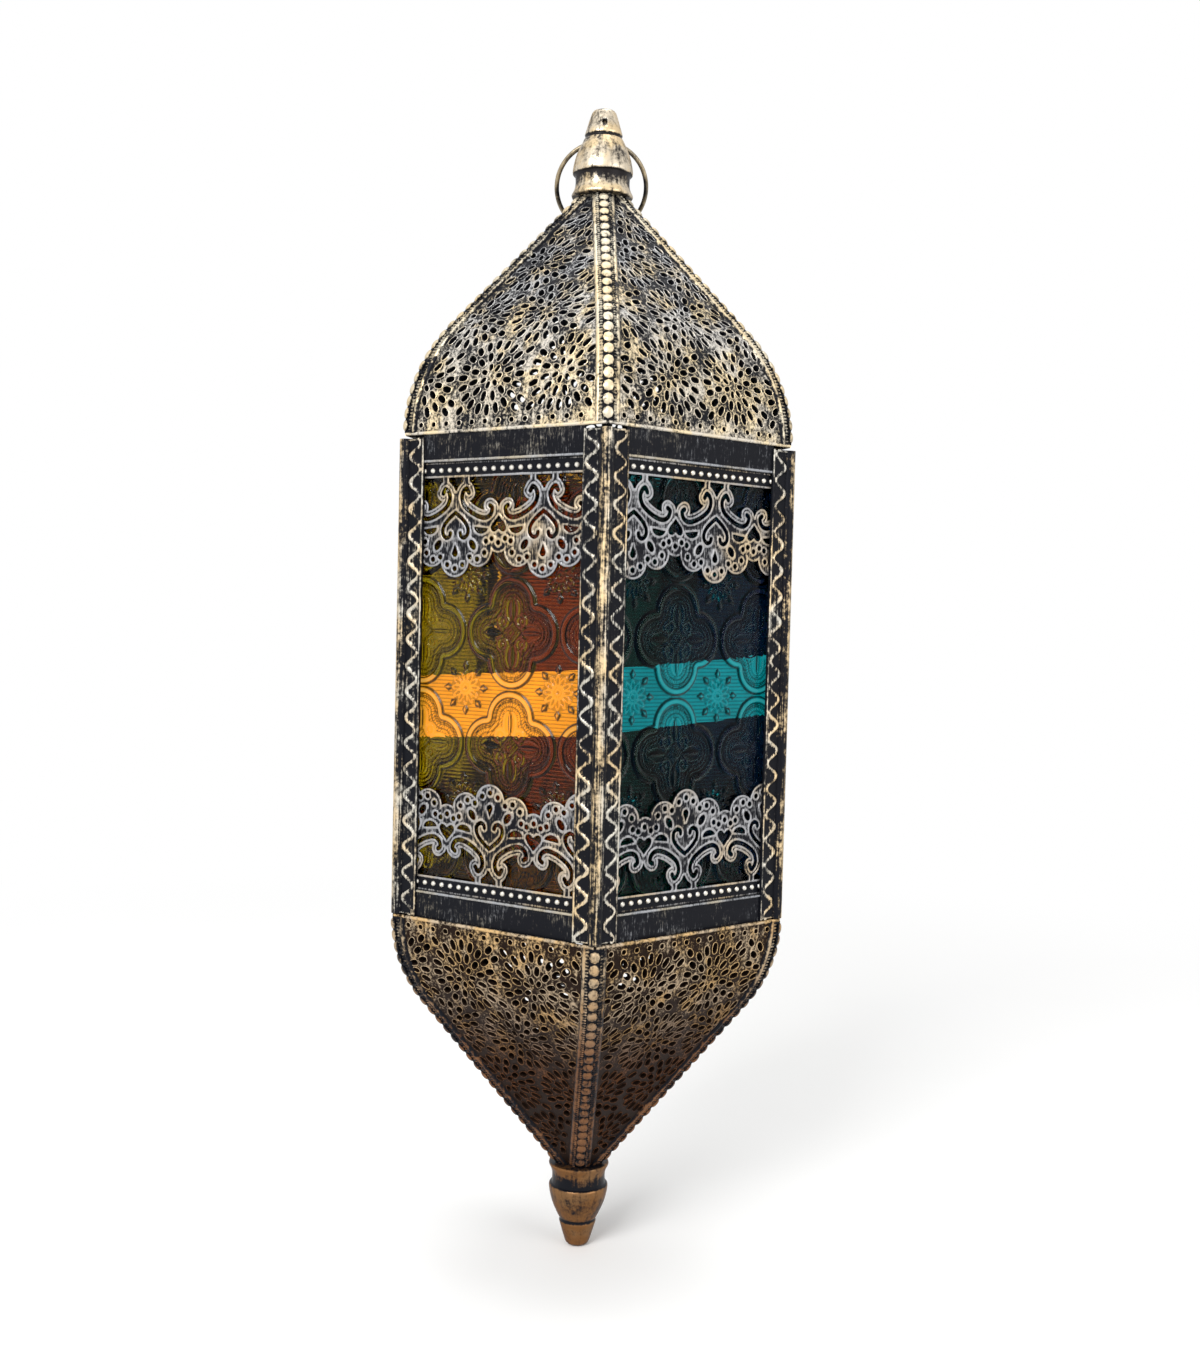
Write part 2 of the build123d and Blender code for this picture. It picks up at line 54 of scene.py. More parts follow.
COS_HALF = math.cos(math.radians(STEP / 2))
BODY, DOOR, RING = "lantern_body", "door", "ring"


class Face(Enum):
    """The five faces, in order round the axis, each with its pane's slot."""

    FRONT_RIGHT = "glass_turquoise"
    RIGHT = "glass_violet"
    BACK = "glass_red"
    LEFT = "glass_green"
    FRONT_LEFT = "glass_amber"

    @property
    def index(self) -> int:
        """Place of the face round the axis."""
        return list(Face).index(self)

    @property
    def label(self) -> str:
        """Name of the face as the solids' names end."""
        return self.name.lower()

    @property
    def body(self) -> str:
        """Body that the face's pane and lace ride on."""
        return DOOR if self is Face.BACK else BODY


class Corner(Enum):
    """The five corners, in order, each before the face of the same place."""

    FRONT = 0
    RIGHT = 1
    BACK_RIGHT = 2
    BACK_LEFT = 3
    LEFT = 4

    @property
    def label(self) -> str:
        """Name of the corner as the solids' names end."""
        return self.name.lower()


FIRST_FACE_ANGLE = -54.0
FIRST_CORNER_ANGLE = -90.0


def smooth(low: float, high: float, value: np.ndarray) -> np.ndarray:
    """Smooth step: 0 below low, 1 above high, and a cubic ease between them.

    Args:
        low: Value where the step starts.
        high: Value where the step ends.
        value: Values to ease.

    Returns:
        The eased values.
    """
    t = np.clip((value - low) / (high - low), 0.0, 1.0)
    return t * t * (3.0 - 2.0 * t)


def ridge(distance: np.ndarray, half_width: float) -> np.ndarray:
    """Half-round ridge: the height of a unit circle over its chord, 0 beyond the half width."""
    return np.sqrt(np.clip(1.0 - (distance / half_width) ** 2, 0.0, 1.0))


def turn_matrix(degrees: float) -> np.ndarray:
    """Turn about the axis by an angle, as a 3 by 3 matrix for row vectors."""
    c, s = math.cos(math.radians(degrees)), math.sin(math.radians(degrees))
    return np.array([[c, s, 0.0], [-s, c, 0.0], [0.0, 0.0, 1.0]])


def on_face(angle: float, along: np.ndarray, out: np.ndarray, height: np.ndarray) -> np.ndarray:
    """Points of a flat face: out from the axis on its normal, along it level, and up.

    Args:
        angle: Direction of the face's normal, in degrees.
        along: Distances along the face.
        out: Distances from the axis.
        height: Levels.

    Returns:
        An array of points with three columns.
    """
    a = math.radians(angle)
    along, out, height = np.broadcast_arrays(along, out, height)
    x = out * math.cos(a) - along * math.sin(a)
    y = out * math.sin(a) + along * math.cos(a)
    return np.stack([x.ravel(), y.ravel(), height.ravel()], axis=1)


def lattice(rows: int, columns: int, wrap: bool = False) -> np.ndarray:
    """Quads of a grid of points, row by row.

    Args:
        rows: Number of rows of points.
        columns: Number of points in a row.
        wrap: Whether the last column joins the first.

    Returns:
        An array of quads.
    """
    index = np.arange(rows * columns).reshape(rows, columns)
    if wrap:
        index = np.concatenate([index, index[:, :1]], axis=1)
    quads = [index[:-1, :-1], index[:-1, 1:], index[1:, 1:], index[1:, :-1]]
    return np.stack(quads, axis=-1).reshape(-1, 4)


@dataclass
class Surface:
    """A mesh in the making: points in millimetres, polygons by size, and two values at each point.

    Relief is 1 on raised lines that handling has rubbed bright. The second value is warmth on metal, 1 where the metal
    is gold, not silver; on glass it is a painted tone, 1 for painted shade on steep flanks and -1 for a painted
    highlight on crests.
    """

    points: np.ndarray
    polygons: list[np.ndarray]
    relief: np.ndarray
    warmth: np.ndarray | None = None

    def __post_init__(self) -> None:
        """Gives every point the same warmth where none is stated."""
        if self.warmth is None:
            self.warmth = np.zeros(len(self.points))

    def turned(self, degrees: float) -> "Surface":
        """The same surface turned about the axis."""
        return Surface(self.points @ turn_matrix(degrees), self.polygons, self.relief, self.warmth)

    def flipped(self) -> "Surface":
        """The same surface with its faces turned over."""
        return Surface(self.points, [p[:, ::-1] for p in self.polygons], self.relief, self.warmth)

    @staticmethod
    def joined(parts: list["Surface"]) -> "Surface":
        """One surface from several, with the points of each kept apart."""
        polygons, start = [], 0
        for part in parts:
            polygons += [p + start for p in part.polygons]
            start += len(part.points)
        return Surface(
            np.concatenate([p.points for p in parts]),
            polygons,
            np.concatenate([p.relief for p in parts]),
            np.concatenate([p.warmth for p in parts]),
        )

    def mesh(self, name: str, crease: float) -> bpy.types.Mesh:
        """Blender mesh of the surface, in metres.

        Args:
            name: Name of the mesh.
            crease: Angle in degrees past which an edge is shaded sharp.

        Returns:
            The new mesh, with the relief and warmth as attributes.
        """
        mesh = bpy.data.meshes.new(name)
        corners = np.concatenate([p.ravel() for p in self.polygons]).astype(np.int32)
        sizes = np.concatenate([np.full(len(p), p.shape[1]) for p in self.polygons])
        starts = np.concatenate([[0], np.cumsum(sizes)[:-1]]).astype(np.int32)
        mesh.vertices.add(len(self.points))
        mesh.vertices.foreach_set("co", (self.points * MM).astype(np.float32).ravel())
        mesh.loops.add(len(corners))
        mesh.loops.foreach_set("vertex_index", corners)
        mesh.polygons.add(len(sizes))
        mesh.polygons.foreach_set("loop_start", starts)
        for key, values in (("relief", self.relief), ("warmth", self.warmth)):
            layer = mesh.attributes.new(key, "FLOAT", "POINT")
            layer.data.foreach_set("value", values.astype(np.float32))
        mesh.polygons.foreach_set("use_smooth", np.ones(len(sizes), dtype=bool))
        mesh.update(calc_edges=True)
        mesh.validate()
        mesh.set_sharp_from_angle(angle=math.radians(crease))
        return mesh


def piece(
    name: str,
    surface: Surface,
    material: bpy.types.Material,
    body: str,
    replaced: list[str],
    crease: float = 38.0,
) -> bpy.types.Object:
    """Makes an object of a surface, dresses it and lets it ride on a body.

    Args:
        name: Name of the piece.
        surface: Its shape.
        material: Its finish.
        body: Body that carries it.
        replaced: Solids that it stands for.
        crease: Angle in degrees past which an edge is sharp.

    Returns:
        The new object.
    """
    obj = bpy.data.objects.new(name, surface.mesh(name, crease))
    bpy.context.scene.collection.objects.link(obj)
    obj.data.materials.append(material)
    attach(obj, body)
    if replaced:
        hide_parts(*replaced)
    log.info("%s: %d polygons on %s", name, len(obj.data.polygons), body)
    return obj


class Nodes:
    """A small helper that adds and joins nodes of one tree."""

    def __init__(self, tree: bpy.types.NodeTree) -> None:
        """Keeps the tree that nodes go into."""
        self.tree = tree

    def add(self, kind: str, inputs: dict | None = None, **settings) -> bpy.types.Node:
        """Adds a node.

        Args:
            kind: Type of the node.
            inputs: Socket names or numbers with a value, or with a socket to join.
            **settings: Properties of the node.

        Returns:
            The new node.
        """
        node = self.tree.nodes.new(kind)
        for key, value in settings.items():
            setattr(node, key, value)
        for key, value in (inputs or {}).items():
            if isinstance(value, bpy.types.NodeSocket):
                self.tree.links.new(value, node.inputs[key])
            else:
                node.inputs[key].default_value = value
        return node

    def math(self, operation: str, *values: object, clamp: bool = False) -> bpy.types.NodeSocket:
        """Result of a Math node on two or three values or sockets."""
        inputs = dict(enumerate(values))
        return self.add("ShaderNodeMath", inputs, operation=operation, use_clamp=clamp).outputs[0]

    def mix(self, factor: object, first: object, second: object) -> bpy.types.NodeSocket:
        """Colour between two colours."""
        node = self.add("ShaderNodeMix", data_type="RGBA")
        for socket, value in ((node.inputs[0], factor), (node.inputs[6], first), (node.inputs[7], second)):
            if isinstance(value, bpy.types.NodeSocket):
                self.tree.links.new(value, socket)
            else:
                socket.default_value = value
        return node.outputs[2]

    def noise(self, vector: bpy.types.NodeSocket, scale: object, detail: float, rough: float) -> bpy.types.NodeSocket:
        """Value of a noise texture."""
        inputs = {"Vector": vector, "Scale": scale, "Detail": detail, "Roughness": rough}
        return self.add("ShaderNodeTexNoise", inputs).outputs[0]

    def ramp(self, value: object, low: object, high: object) -> bpy.types.NodeSocket:
        """Smooth step of a value between two limits."""
        inputs = {"Value": value, "From Min": low, "From Max": high}
        return self.add("ShaderNodeMapRange", inputs, interpolation_type="SMOOTHSTEP").outputs[0]


def new_group(name: str, inputs: dict[str, float], outputs: dict[str, str]) -> tuple[bpy.types.NodeTree, Nodes]:
    """Starts a shader node group.

    Args:
        name: Name of the group.
        inputs: Names and defaults of its number inputs.
        outputs: Names and socket types of its outputs.

    Returns:
        The group's tree and a helper for it.
    """
    tree = bpy.data.node_groups.new(name, "ShaderNodeTree")
    for key, value in inputs.items():
        socket = tree.interface.new_socket(key, in_out="INPUT", socket_type="NodeSocketFloat")
        socket.default_value = value
    for key, kind in outputs.items():
        tree.interface.new_socket(key, in_out="OUTPUT", socket_type=kind)
    return tree, Nodes(tree)


class DryBrush:
    """Shared effect: bright paint dragged over raised lines of a dark sheet, with streaks and mottling."""

    _tree: bpy.types.NodeTree | None = None

    @classmethod
    def tree(cls) -> bpy.types.NodeTree:
        """Group that gives a wear mask, a shine mask, a warmth mask and a height, built once.

        Wear is the relief plus a coarse mottle plus specks plus streaks drawn out along Z, cut by a smooth step. Shine
        is the same sum cut higher. Warmth is a second mottle plus the piece's own warmth.

        Returns:
            The group's tree.
        """
        if cls._tree is not None:
            return cls._tree
        inputs = {"Mottle Scale": 60.0, "Streak Scale": 700.0, "Streak Length": 0.1, "Ground": 0.3, "Streaks": 0.5,
                  "Relief Gain": 0.8, "Grain": 1.0}
        outputs = dict.fromkeys(("Wear", "Shine", "Warmth", "Height"), "NodeSocketFloat")
        tree, nodes = new_group("dry_brush", inputs, outputs)
        given = nodes.add("NodeGroupInput").outputs
        place = nodes.add("ShaderNodeTexCoord").outputs["Object"]
        relief = nodes.add("ShaderNodeAttribute", attribute_name="relief").outputs["Fac"]
        own_warmth = nodes.add("ShaderNodeAttribute", attribute_name="warmth").outputs["Fac"]
        stretch = nodes.add("ShaderNodeCombineXYZ", {0: 1.0, 1: 1.0, 2: given["Streak Length"]}).outputs[0]
        drawn = nodes.add("ShaderNodeVectorMath", {0: place, 1: stretch}, operation="MULTIPLY").outputs[0]
        mottle = nodes.noise(place, given["Mottle Scale"], 4.0, 0.62)
        streak = nodes.noise(drawn, given["Streak Scale"], 3.0, 0.6)
        speck = nodes.noise(place, nodes.math("MULTIPLY", given["Mottle Scale"], 9.0), 3.0, 0.65)
        ground = nodes.math("MULTIPLY", nodes.math("SUBTRACT", mottle, 0.5), 1.7)
        specks = nodes.math("MULTIPLY", nodes.math("SUBTRACT", speck, 0.5), nodes.math("MULTIPLY", given["Grain"], 2.2))
        ground = nodes.math("ADD", nodes.math("ADD", ground, specks), given["Ground"])
        streaks = nodes.math("MULTIPLY", nodes.math("SUBTRACT", streak, 0.5), given["Streaks"])
        raised = nodes.math("MULTIPLY", relief, given["Relief Gain"])
        total = nodes.math("ADD", nodes.math("ADD", ground, nodes.math("MULTIPLY", streaks, 3.0)), raised)
        wear = nodes.ramp(total, 0.16, 0.88)
        tone = nodes.noise(place, nodes.math("MULTIPLY", given["Mottle Scale"], 0.8), 3.0, 0.55)
        warm = nodes.math("ADD", nodes.ramp(tone, 0.42, 0.66), own_warmth, clamp=True)
        grain = nodes.math("ADD", nodes.math("MULTIPLY", streak, 0.6), nodes.math("MULTIPLY", mottle, 0.4))
        ends = {"Wear": wear, "Shine": nodes.ramp(total, 1.2, 1.9), "Warmth": warm, "Height": grain}
        nodes.add("NodeGroupOutput", ends)
        cls._tree = tree
        return tree


class RollMarks:
    """Shared effect: the fine level ribs and slight waves of rolled glass, and painted shade lines along the ribs."""

    _tree: bpy.types.NodeTree | None = None

    @classmethod
    def tree(cls) -> bpy.types.NodeTree:
        """Group that gives the height of the ribs between the figures, a haze and painted shade lines along the ribs,
        built once.

        The height is a sine of the level, cleared where a figure stands, plus a slow noise.

        Returns:
            The group's tree.
        """
        if cls._tree is not None:
            return cls._tree
        inputs = {"Rib Pitch": 0.0015, "Haze Scale": 45.0}
        outputs = {"Height": "NodeSocketFloat", "Haze": "NodeSocketFloat", "Lines": "NodeSocketFloat"}
        tree, nodes = new_group("roll_marks", inputs, outputs)
        given = nodes.add("NodeGroupInput").outputs
        place = nodes.add("ShaderNodeTexCoord").outputs["Object"]
        level = nodes.add("ShaderNodeSeparateXYZ", {0: place}).outputs[2]
        figure = nodes.add("ShaderNodeAttribute", attribute_name="relief").outputs["Fac"]
        wave = nodes.math("SINE", nodes.math("DIVIDE", nodes.math("MULTIPLY", level, 2 * math.pi), given["Rib Pitch"]))
        plain = nodes.math("SUBTRACT", 1.0, figure, clamp=True)
        haze = nodes.noise(place, given["Haze Scale"], 3.0, 0.5)
        height = nodes.math("ADD", nodes.math("MULTIPLY", wave, plain), nodes.math("MULTIPLY", haze, 1.5))
        # Painted shade: lines where the ribs' sine is high, cleared where a figure stands.
        lines = nodes.math("MULTIPLY", nodes.ramp(wave, -0.2, 0.9), plain)
        nodes.add("NodeGroupOutput", {"Height": height, "Haze": haze, "Lines": lines})
        cls._tree = tree
        return tree


Colour = tuple[float, float, float, float]
INK: Colour = (0.005, 0.0055, 0.008, 1.0)
SILVER: Colour = (0.74, 0.74, 0.72, 1.0)
GOLD: Colour = (0.8, 0.68, 0.47, 1.0)
COPPER_AND_SHADE: Colour = (0.15, 0.07, 0.035, 1.0)
POLISH: Colour = (0.9, 0.88, 0.83, 1.0)


@dataclass(frozen=True)
class AgedMetal:
    """A dark sheet brushed over with silver and gold.

    Ground is how much of the flat sheet is bright, and streak length is under 1 for streaks drawn out along Z.
    """

    name: str
    dark: Colour = INK
    silver: Colour = SILVER
    gold: Colour = GOLD
    polish: Colour = POLISH
    copper: Colour = COPPER_AND_SHADE
    mottle: float = 60.0
    streak_scale: float = 700.0
    streak_length: float = 0.1
    ground: float = 0.3
    streaks: float = 0.5
    relief_gain: float = 0.8
    grain: float = 1.0
    metal: float = 0.55
    rough: float = 0.42
    bump: float = 0.25
    gloss: Colour = (0.6, 0.6, 0.63, 1.0)
    copper_and_shade_from: float | None = None
    copper_and_shade_to: float = -0.44

    def material(self) -> bpy.types.Material:
        """Builds the finish as a Blender material.

        Returns:
            The material.
        """
        material = bpy.data.materials.new(self.name)
        material.use_nodes = True
        nodes = Nodes(material.node_tree)
        shader = material.node_tree.nodes["Principled BSDF"]
        brush = nodes.add("ShaderNodeGroup", node_tree=DryBrush.tree())
        values = (self.mottle, self.streak_scale, self.streak_length, self.ground, self.streaks, self.relief_gain,
                  self.grain)
        shader.inputs["Specular IOR Level"].default_value = 0.15
        shader.inputs["Specular Tint"].default_value = self.gloss
        for socket, value in zip(brush.inputs, values):
            socket.default_value = value
        bright = nodes.mix(brush.outputs["Warmth"], self.silver, self.gold)
        bright = nodes.mix(brush.outputs["Shine"], bright, self.polish)
        # Towards the bottom the bright colour turns dark copper: partly the metal's copper tone, partly painted shade
        # where the bowl faces down from the light.
        if self.copper_and_shade_from is not None:
            place = nodes.add("ShaderNodeTexCoord").outputs["Object"]
            level = nodes.add("ShaderNodeSeparateXYZ", {0: place}).outputs[2]
            lower = nodes.ramp(level, self.copper_and_shade_from, self.copper_and_shade_to)
            bright = nodes.mix(lower, bright, self.copper)
        colour = nodes.mix(brush.outputs["Wear"], self.dark, bright)
        links = material.node_tree.links
        links.new(colour, shader.inputs["Base Color"])
        links.new(nodes.math("MULTIPLY_ADD", brush.outputs["Wear"], self.metal, 0.12), shader.inputs["Metallic"])
        links.new(nodes.math("MULTIPLY_ADD", brush.outputs["Height"], 0.25, self.rough - 0.1), shader.inputs["Roughness"])
        bump = nodes.add(
            "ShaderNodeBump", {"Strength": self.bump, "Distance": 0.0004, "Height": brush.outputs["Height"]}
        )
        links.new(bump.outputs[0], shader.inputs["Normal"])
        return material


@dataclass(frozen=True)
class PatternGlass:
    """Rolled glass, tinted through, with painted shade on steep flanks and along the ribs and a painted highlight on
    crests.
    """

    name: str
    tint: Colour
    # line is how dark the painted shade is, as a share of the tint, and crest how pale the painted highlight is.
    line: float = 0.004
    crest: float = 0.5
    rough: float = 0.04
    gloss: float = 0.12

    def material(self) -> bpy.types.Material:
        """Builds the glass as a Blender material.

        Returns:
            The material.
        """
        material = bpy.data.materials.new(self.name)
        material.use_nodes = True
        nodes = Nodes(material.node_tree)
        shader = material.node_tree.nodes["Principled BSDF"]
        marks = nodes.add("ShaderNodeGroup", node_tree=RollMarks.tree())
        deep = tuple(0.86 * c for c in self.tint[:3]) + (1.0,)
        colour = nodes.mix(nodes.ramp(marks.outputs["Haze"], 0.3, 0.7), deep, self.tint)
        # Painted highlight: where the tone is below 0, on crests, the tint is mixed towards a pale tint.
        tone = nodes.add("ShaderNodeAttribute", attribute_name="warmth").outputs["Fac"]
        pale = tuple(1.0 - self.crest * (1.0 - c) for c in self.tint[:3]) + (1.0,)
        colour = nodes.mix(nodes.math("MULTIPLY", tone, -1.0, clamp=True), colour, pale)
        # Painted shade: where the tone is above 0, on steep flanks, and along the ribs' lines, the tint is mixed
        # towards near black.
        lines = nodes.math("MAXIMUM", tone, nodes.math("MULTIPLY", marks.outputs["Lines"], 0.6), clamp=True)
        colour = nodes.mix(lines, colour, tuple(self.line * c for c in self.tint[:3]) + (1.0,))
        links = material.node_tree.links
        links.new(colour, shader.inputs["Base Color"])
        links.new(nodes.math("MULTIPLY_ADD", marks.outputs["Haze"], 0.04, self.rough - 0.02), shader.inputs["Roughness"])
        shader.inputs["Transmission Weight"].default_value = 1.0
        shader.inputs["Specular Tint"].default_value = (self.gloss, self.gloss, self.gloss, 1.0)
        shader.inputs["IOR"].default_value = 1.5
        bump = nodes.add("ShaderNodeBump", {"Strength": 0.35, "Distance": 0.00012, "Height": marks.outputs["Height"]})
        links.new(bump.outputs[0], shader.inputs["Normal"])
        return material


@dataclass
class PanelCurve:
    """Upright profile of a roof or bowl panel: an arc from the foot, then a straight slope to the finial's seat.

    Sizes are in millimetres. The arc's centre lies level with the foot, and the slope leaves the arc as its tangent.
    """

    apothem: float
    radius: float
    seat: float
    rise: float
    level: float
    sign: float

    def __post_init__(self) -> None:
        """Works out the slope and the length of the profile."""
        inward = self.seat - self.apothem + self.radius
        reach = math.hypot(inward, self.rise)
        self.slope = math.atan2(self.rise, inward) - math.acos(self.radius / reach)
        self.arc = self.radius * self.slope
        self.length = self.arc + (self.rise - self.radius * math.sin(self.slope)) / math.cos(self.slope)

    def turn(self, length: np.ndarray) -> np.ndarray:
        """Lean of the sheet at a length along the profile, in radians."""
        return np.minimum(length / self.radius, self.slope)

    def reach(self, length: np.ndarray, lift: np.ndarray = 0.0) -> np.ndarray:
        """Distance from the axis at a length along the profile, on a surface lifted off the sheet."""
        turn = self.turn(length)
        rest = length - self.radius * turn
        return self.apothem - self.radius * (1 - np.cos(turn)) - rest * np.sin(turn) + lift * np.cos(turn)

    def height(self, length: np.ndarray, lift: np.ndarray = 0.0) -> np.ndarray:
        """Level at a length along the profile, on a surface lifted off the sheet."""
        turn = self.turn(length)
        rest = length - self.radius * turn
        up = self.radius * np.sin(turn) + rest * np.cos(turn) + lift * np.sin(turn)
        return self.level + self.sign * up

    def points(self, along: np.ndarray, length: np.ndarray, lift: np.ndarray) -> np.ndarray:
        """Points of the first face's panel.

        Args:
            along: Distances along the face from its middle.
            length: Lengths up the profile from the foot.
            lift: Heights over the sheet.

        Returns:
            An array of points with three columns.
        """
        along, length, lift = np.broadcast_arrays(along, length, lift)
        return on_face(FIRST_FACE_ANGLE, along, self.reach(length, lift), self.height(length, lift))

    def half_width(self, length: np.ndarray) -> np.ndarray:
        """Half the face's width at a length along the profile."""
        return self.reach(length) * TAN_HALF


ROOF_CURVE = PanelCurve(68.4, 78.4, 7.85, 106.6, -129.0, 1.0)
BOWL_CURVE = PanelCurve(69.5, 67.4, 8.1, 113.9, -330.7, -1.0)


@dataclass
class PiercedPanels:
    """The roof's or bowl's sheets, each pierced by rosettes of small oval holes with raised rims."""

    part: str
    curve: PanelCurve
    finish: AgedMetal
    slot: str
    slides: dict[Face, float]
    sheet: float = 0.8
    seam: float = 0.3
    pitch: float = 35.0
    first_row: float = 21.5
    fade: float = 0.3
    gilt: float = 0.5
    ring_radii: tuple[float, ...] = (3.9, 8.7, 14.1, 19.5, 24.4)
    ring_counts: tuple[int, ...] = (7, 12, 20, 28, 36)
    half_lengths: tuple[float, ...] = (1.65, 2.25, 2.4, 2.2, 2.0)
    half_widths: tuple[float, ...] = (1.1, 1.3, 1.38, 1.4, 1.4)
    fill_pitch: float = 3.3
    fill_half_length: float = 1.75
    fill_half_width: float = 1.1
    rim: float = 0.32
    collar: float = 0.3
    burr: float = 1.5
    hole_sides: int = 12
    edge_margin: float = 7.0
    foot_margin: float = 5.6
    foot_row: float = 2.9
    foot_pitch: float = 6.6
    hem_radius: float = 0.75
    hem_drop: float = 0.35
    inside_shade_relief: float = -3.0

    def rosettes(self, slide: float) -> np.ndarray:
        """Centres of the rosettes: a triangular grid over the panel's flat lay-out, slid along it."""
        row, column = np.meshgrid(np.arange(0, 6), np.arange(-3, 4), indexing="ij")
        along = slide + (column + 0.5 * (1 - row % 2)) * self.pitch
        length = self.first_row + row * self.pitch * math.sqrt(3) / 2
        return np.stack([along.ravel(), length.ravel()], axis=1)

    def candidates(self, slide: float) -> np.ndarray:
        """Every hole that the rosettes call for: along, length, turn, half length and half width.

        A hole stays with the rosette that is nearest to it, so that the rings of neighbours meet half way.
        """
        centres = self.rosettes(slide)
        found = []
        for ring, (radius, count) in enumerate(zip(self.ring_radii, self.ring_counts)):
            turn = (np.arange(count) + 0.5 * (ring % 2)) * 2 * math.pi / count
            spot = centres[:, None, :] + radius * np.stack([np.cos(turn), np.sin(turn)], axis=1)[None]
            gap = np.linalg.norm(spot[:, :, None, :] - centres[None, None], axis=3)
            own = gap.min(axis=2) > radius - 0.9
            rows = np.zeros((*own.shape, 5))
            rows[..., :2] = spot
            rows[..., 2] = turn
            rows[..., 3] = self.half_lengths[ring]
            rows[..., 4] = self.half_widths[ring]
            found.append(rows[own])
        holes = np.concatenate([*found, self.fillers(centres)])
        inside = np.abs(holes[:, 0]) < self.curve.half_width(holes[:, 1]) - self.edge_margin
        inside &= (holes[:, 1] > self.foot_margin) & (holes[:, 1] < self.curve.length - self.foot_margin)
        foot_half = self.curve.half_width(np.array(self.foot_row)) - self.edge_margin
        foot = np.arange(-foot_half + 1.0, foot_half, self.foot_pitch)
        row = np.zeros((len(foot), 5))
        row[:, 0], row[:, 1] = foot, self.foot_row
        row[:, 3], row[:, 4] = 1.15, 1.0
        return np.concatenate([row, holes[inside]])

    def fillers(self, centres: np.ndarray) -> np.ndarray:
        """Smaller holes for the gaps: a fine triangular grid, each hole pointing at its nearest rosette."""
        reach = float(self.curve.half_width(np.array(0.0)))
        x, y = np.meshgrid(np.arange(-reach, reach, self.fill_pitch),
                           np.arange(self.foot_margin, self.curve.length, self.fill_pitch * math.sqrt(3) / 2))
        x = x + self.fill_pitch / 2 * (np.arange(len(y)) % 2)[:, None]
        spot = np.stack([x.ravel(), y.ravel()], axis=1)
        away = spot[:, None] - centres[None]
        nearest = away[np.arange(len(spot)), np.linalg.norm(away, axis=2).argmin(axis=1)]
        turn = np.arctan2(nearest[:, 1], nearest[:, 0])
        sizes = np.broadcast_to([self.fill_half_length, self.fill_half_width], spot.shape)
        return np.column_stack([spot, turn, sizes])

    def holes(self, slide: float) -> np.ndarray:
        """Holes kept in order, each only where its rim stays clear of the rims kept before it."""
        rows = self.candidates(slide)
        core = (rows[:, 3] - rows[:, 4])[:, None, None] * np.array([-1.0, 0.0, 1.0])[None, :, None]
        heading = np.stack([np.cos(rows[:, 2]), np.sin(rows[:, 2])], axis=1)[:, None, :]
        spots = rows[:, None, :2] + core * heading
        gap = np.linalg.norm(spots[:, None, :, None] - spots[None, :, None, :], axis=4).min(axis=(2, 3))
        need = rows[:, 4][:, None] + rows[:, 4][None, :] + 2 * self.rim + 0.06
        clash = gap < need
        kept = np.zeros(len(rows), dtype=bool)
        for index in range(len(rows)):
            kept[index] = not np.any(clash[index] & kept)
        return rows[kept]

    def loops(self, holes: np.ndarray, grow: float) -> np.ndarray:
        """Outlines of the holes, grown by a distance: a squared ellipse turned to the hole's heading."""
        t = (np.arange(self.hole_sides) + 0.5) * 2 * math.pi / self.hole_sides
        power = 0.86
        x = (holes[:, 3:4] + grow) * np.sign(np.cos(t)) * np.abs(np.cos(t)) ** power
        y = (holes[:, 4:5] + grow) * np.sign(np.sin(t)) * np.abs(np.sin(t)) ** power
        c, s = np.cos(holes[:, 2:3]), np.sin(holes[:, 2:3])
        return np.stack([holes[:, 0:1] + x * c - y * s, holes[:, 1:2] + x * s + y * c], axis=2)

    def border(self) -> np.ndarray:
        """Outline of the panel in its flat lay-out, anticlockwise from the foot's left end."""
        foot = np.linspace(-1.0, 1.0, 34)[:-1]
        up = np.linspace(0.0, self.curve.length, 42)
        edge = self.curve.half_width(up) - self.seam
        start = self.curve.half_width(np.array(0.0)) - self.seam
        base = np.stack([foot * start, np.zeros_like(foot)], axis=1)
        right = np.stack([edge, up], axis=1)
        return np.concatenate([base, right, (right * [-1.0, 1.0])[:0:-1]])

    def web(self, loops: np.ndarray, border: np.ndarray) -> tuple[np.ndarray, np.ndarray]:
        """Triangles of the sheet between its border and the holes' outlines.

        Triangles with all three corners on one hole's outline lie in the hole, as each outline is convex.

        Args:
            loops: Outlines of the holes.
            border: Outline of the panel.

        Returns:
            The points, in the order border then loops, and the triangles between them.
        """
        count, sides = loops.shape[:2]
        flat = np.concatenate([border, loops.reshape(-1, 2)])
        first = np.arange(len(border))
        rim = len(border) + np.arange(count * sides).reshape(count, sides)
        edges = np.concatenate([
            np.stack([first, np.roll(first, -1)], axis=1),
            np.stack([rim, np.roll(rim, -1, axis=1)], axis=2).reshape(-1, 2),
        ])
        result = delaunay_2d_cdt(list(map(Vector, flat)), edges.tolist(), [], 1, 1e-6)
        triangles = np.array(result[2], dtype=np.int64)
        owner = np.where(triangles < len(border), -1, (triangles - len(border)) // sides)
        filled = (owner[:, 0] >= 0) & (owner[:, 0] == owner[:, 1]) & (owner[:, 1] == owner[:, 2])
        return flat, triangles[~filled]

    def worn(self, share: np.ndarray) -> np.ndarray:
        """Loss of relief towards the finial, where the brush reached less."""
        return self.fade * smooth(0.2, 0.85, share)

    def golden(self, share: np.ndarray) -> np.ndarray:
        """Warmth of the sheet, most at the foot and none past the middle."""
        return self.gilt * smooth(0.6, 0.05, share)

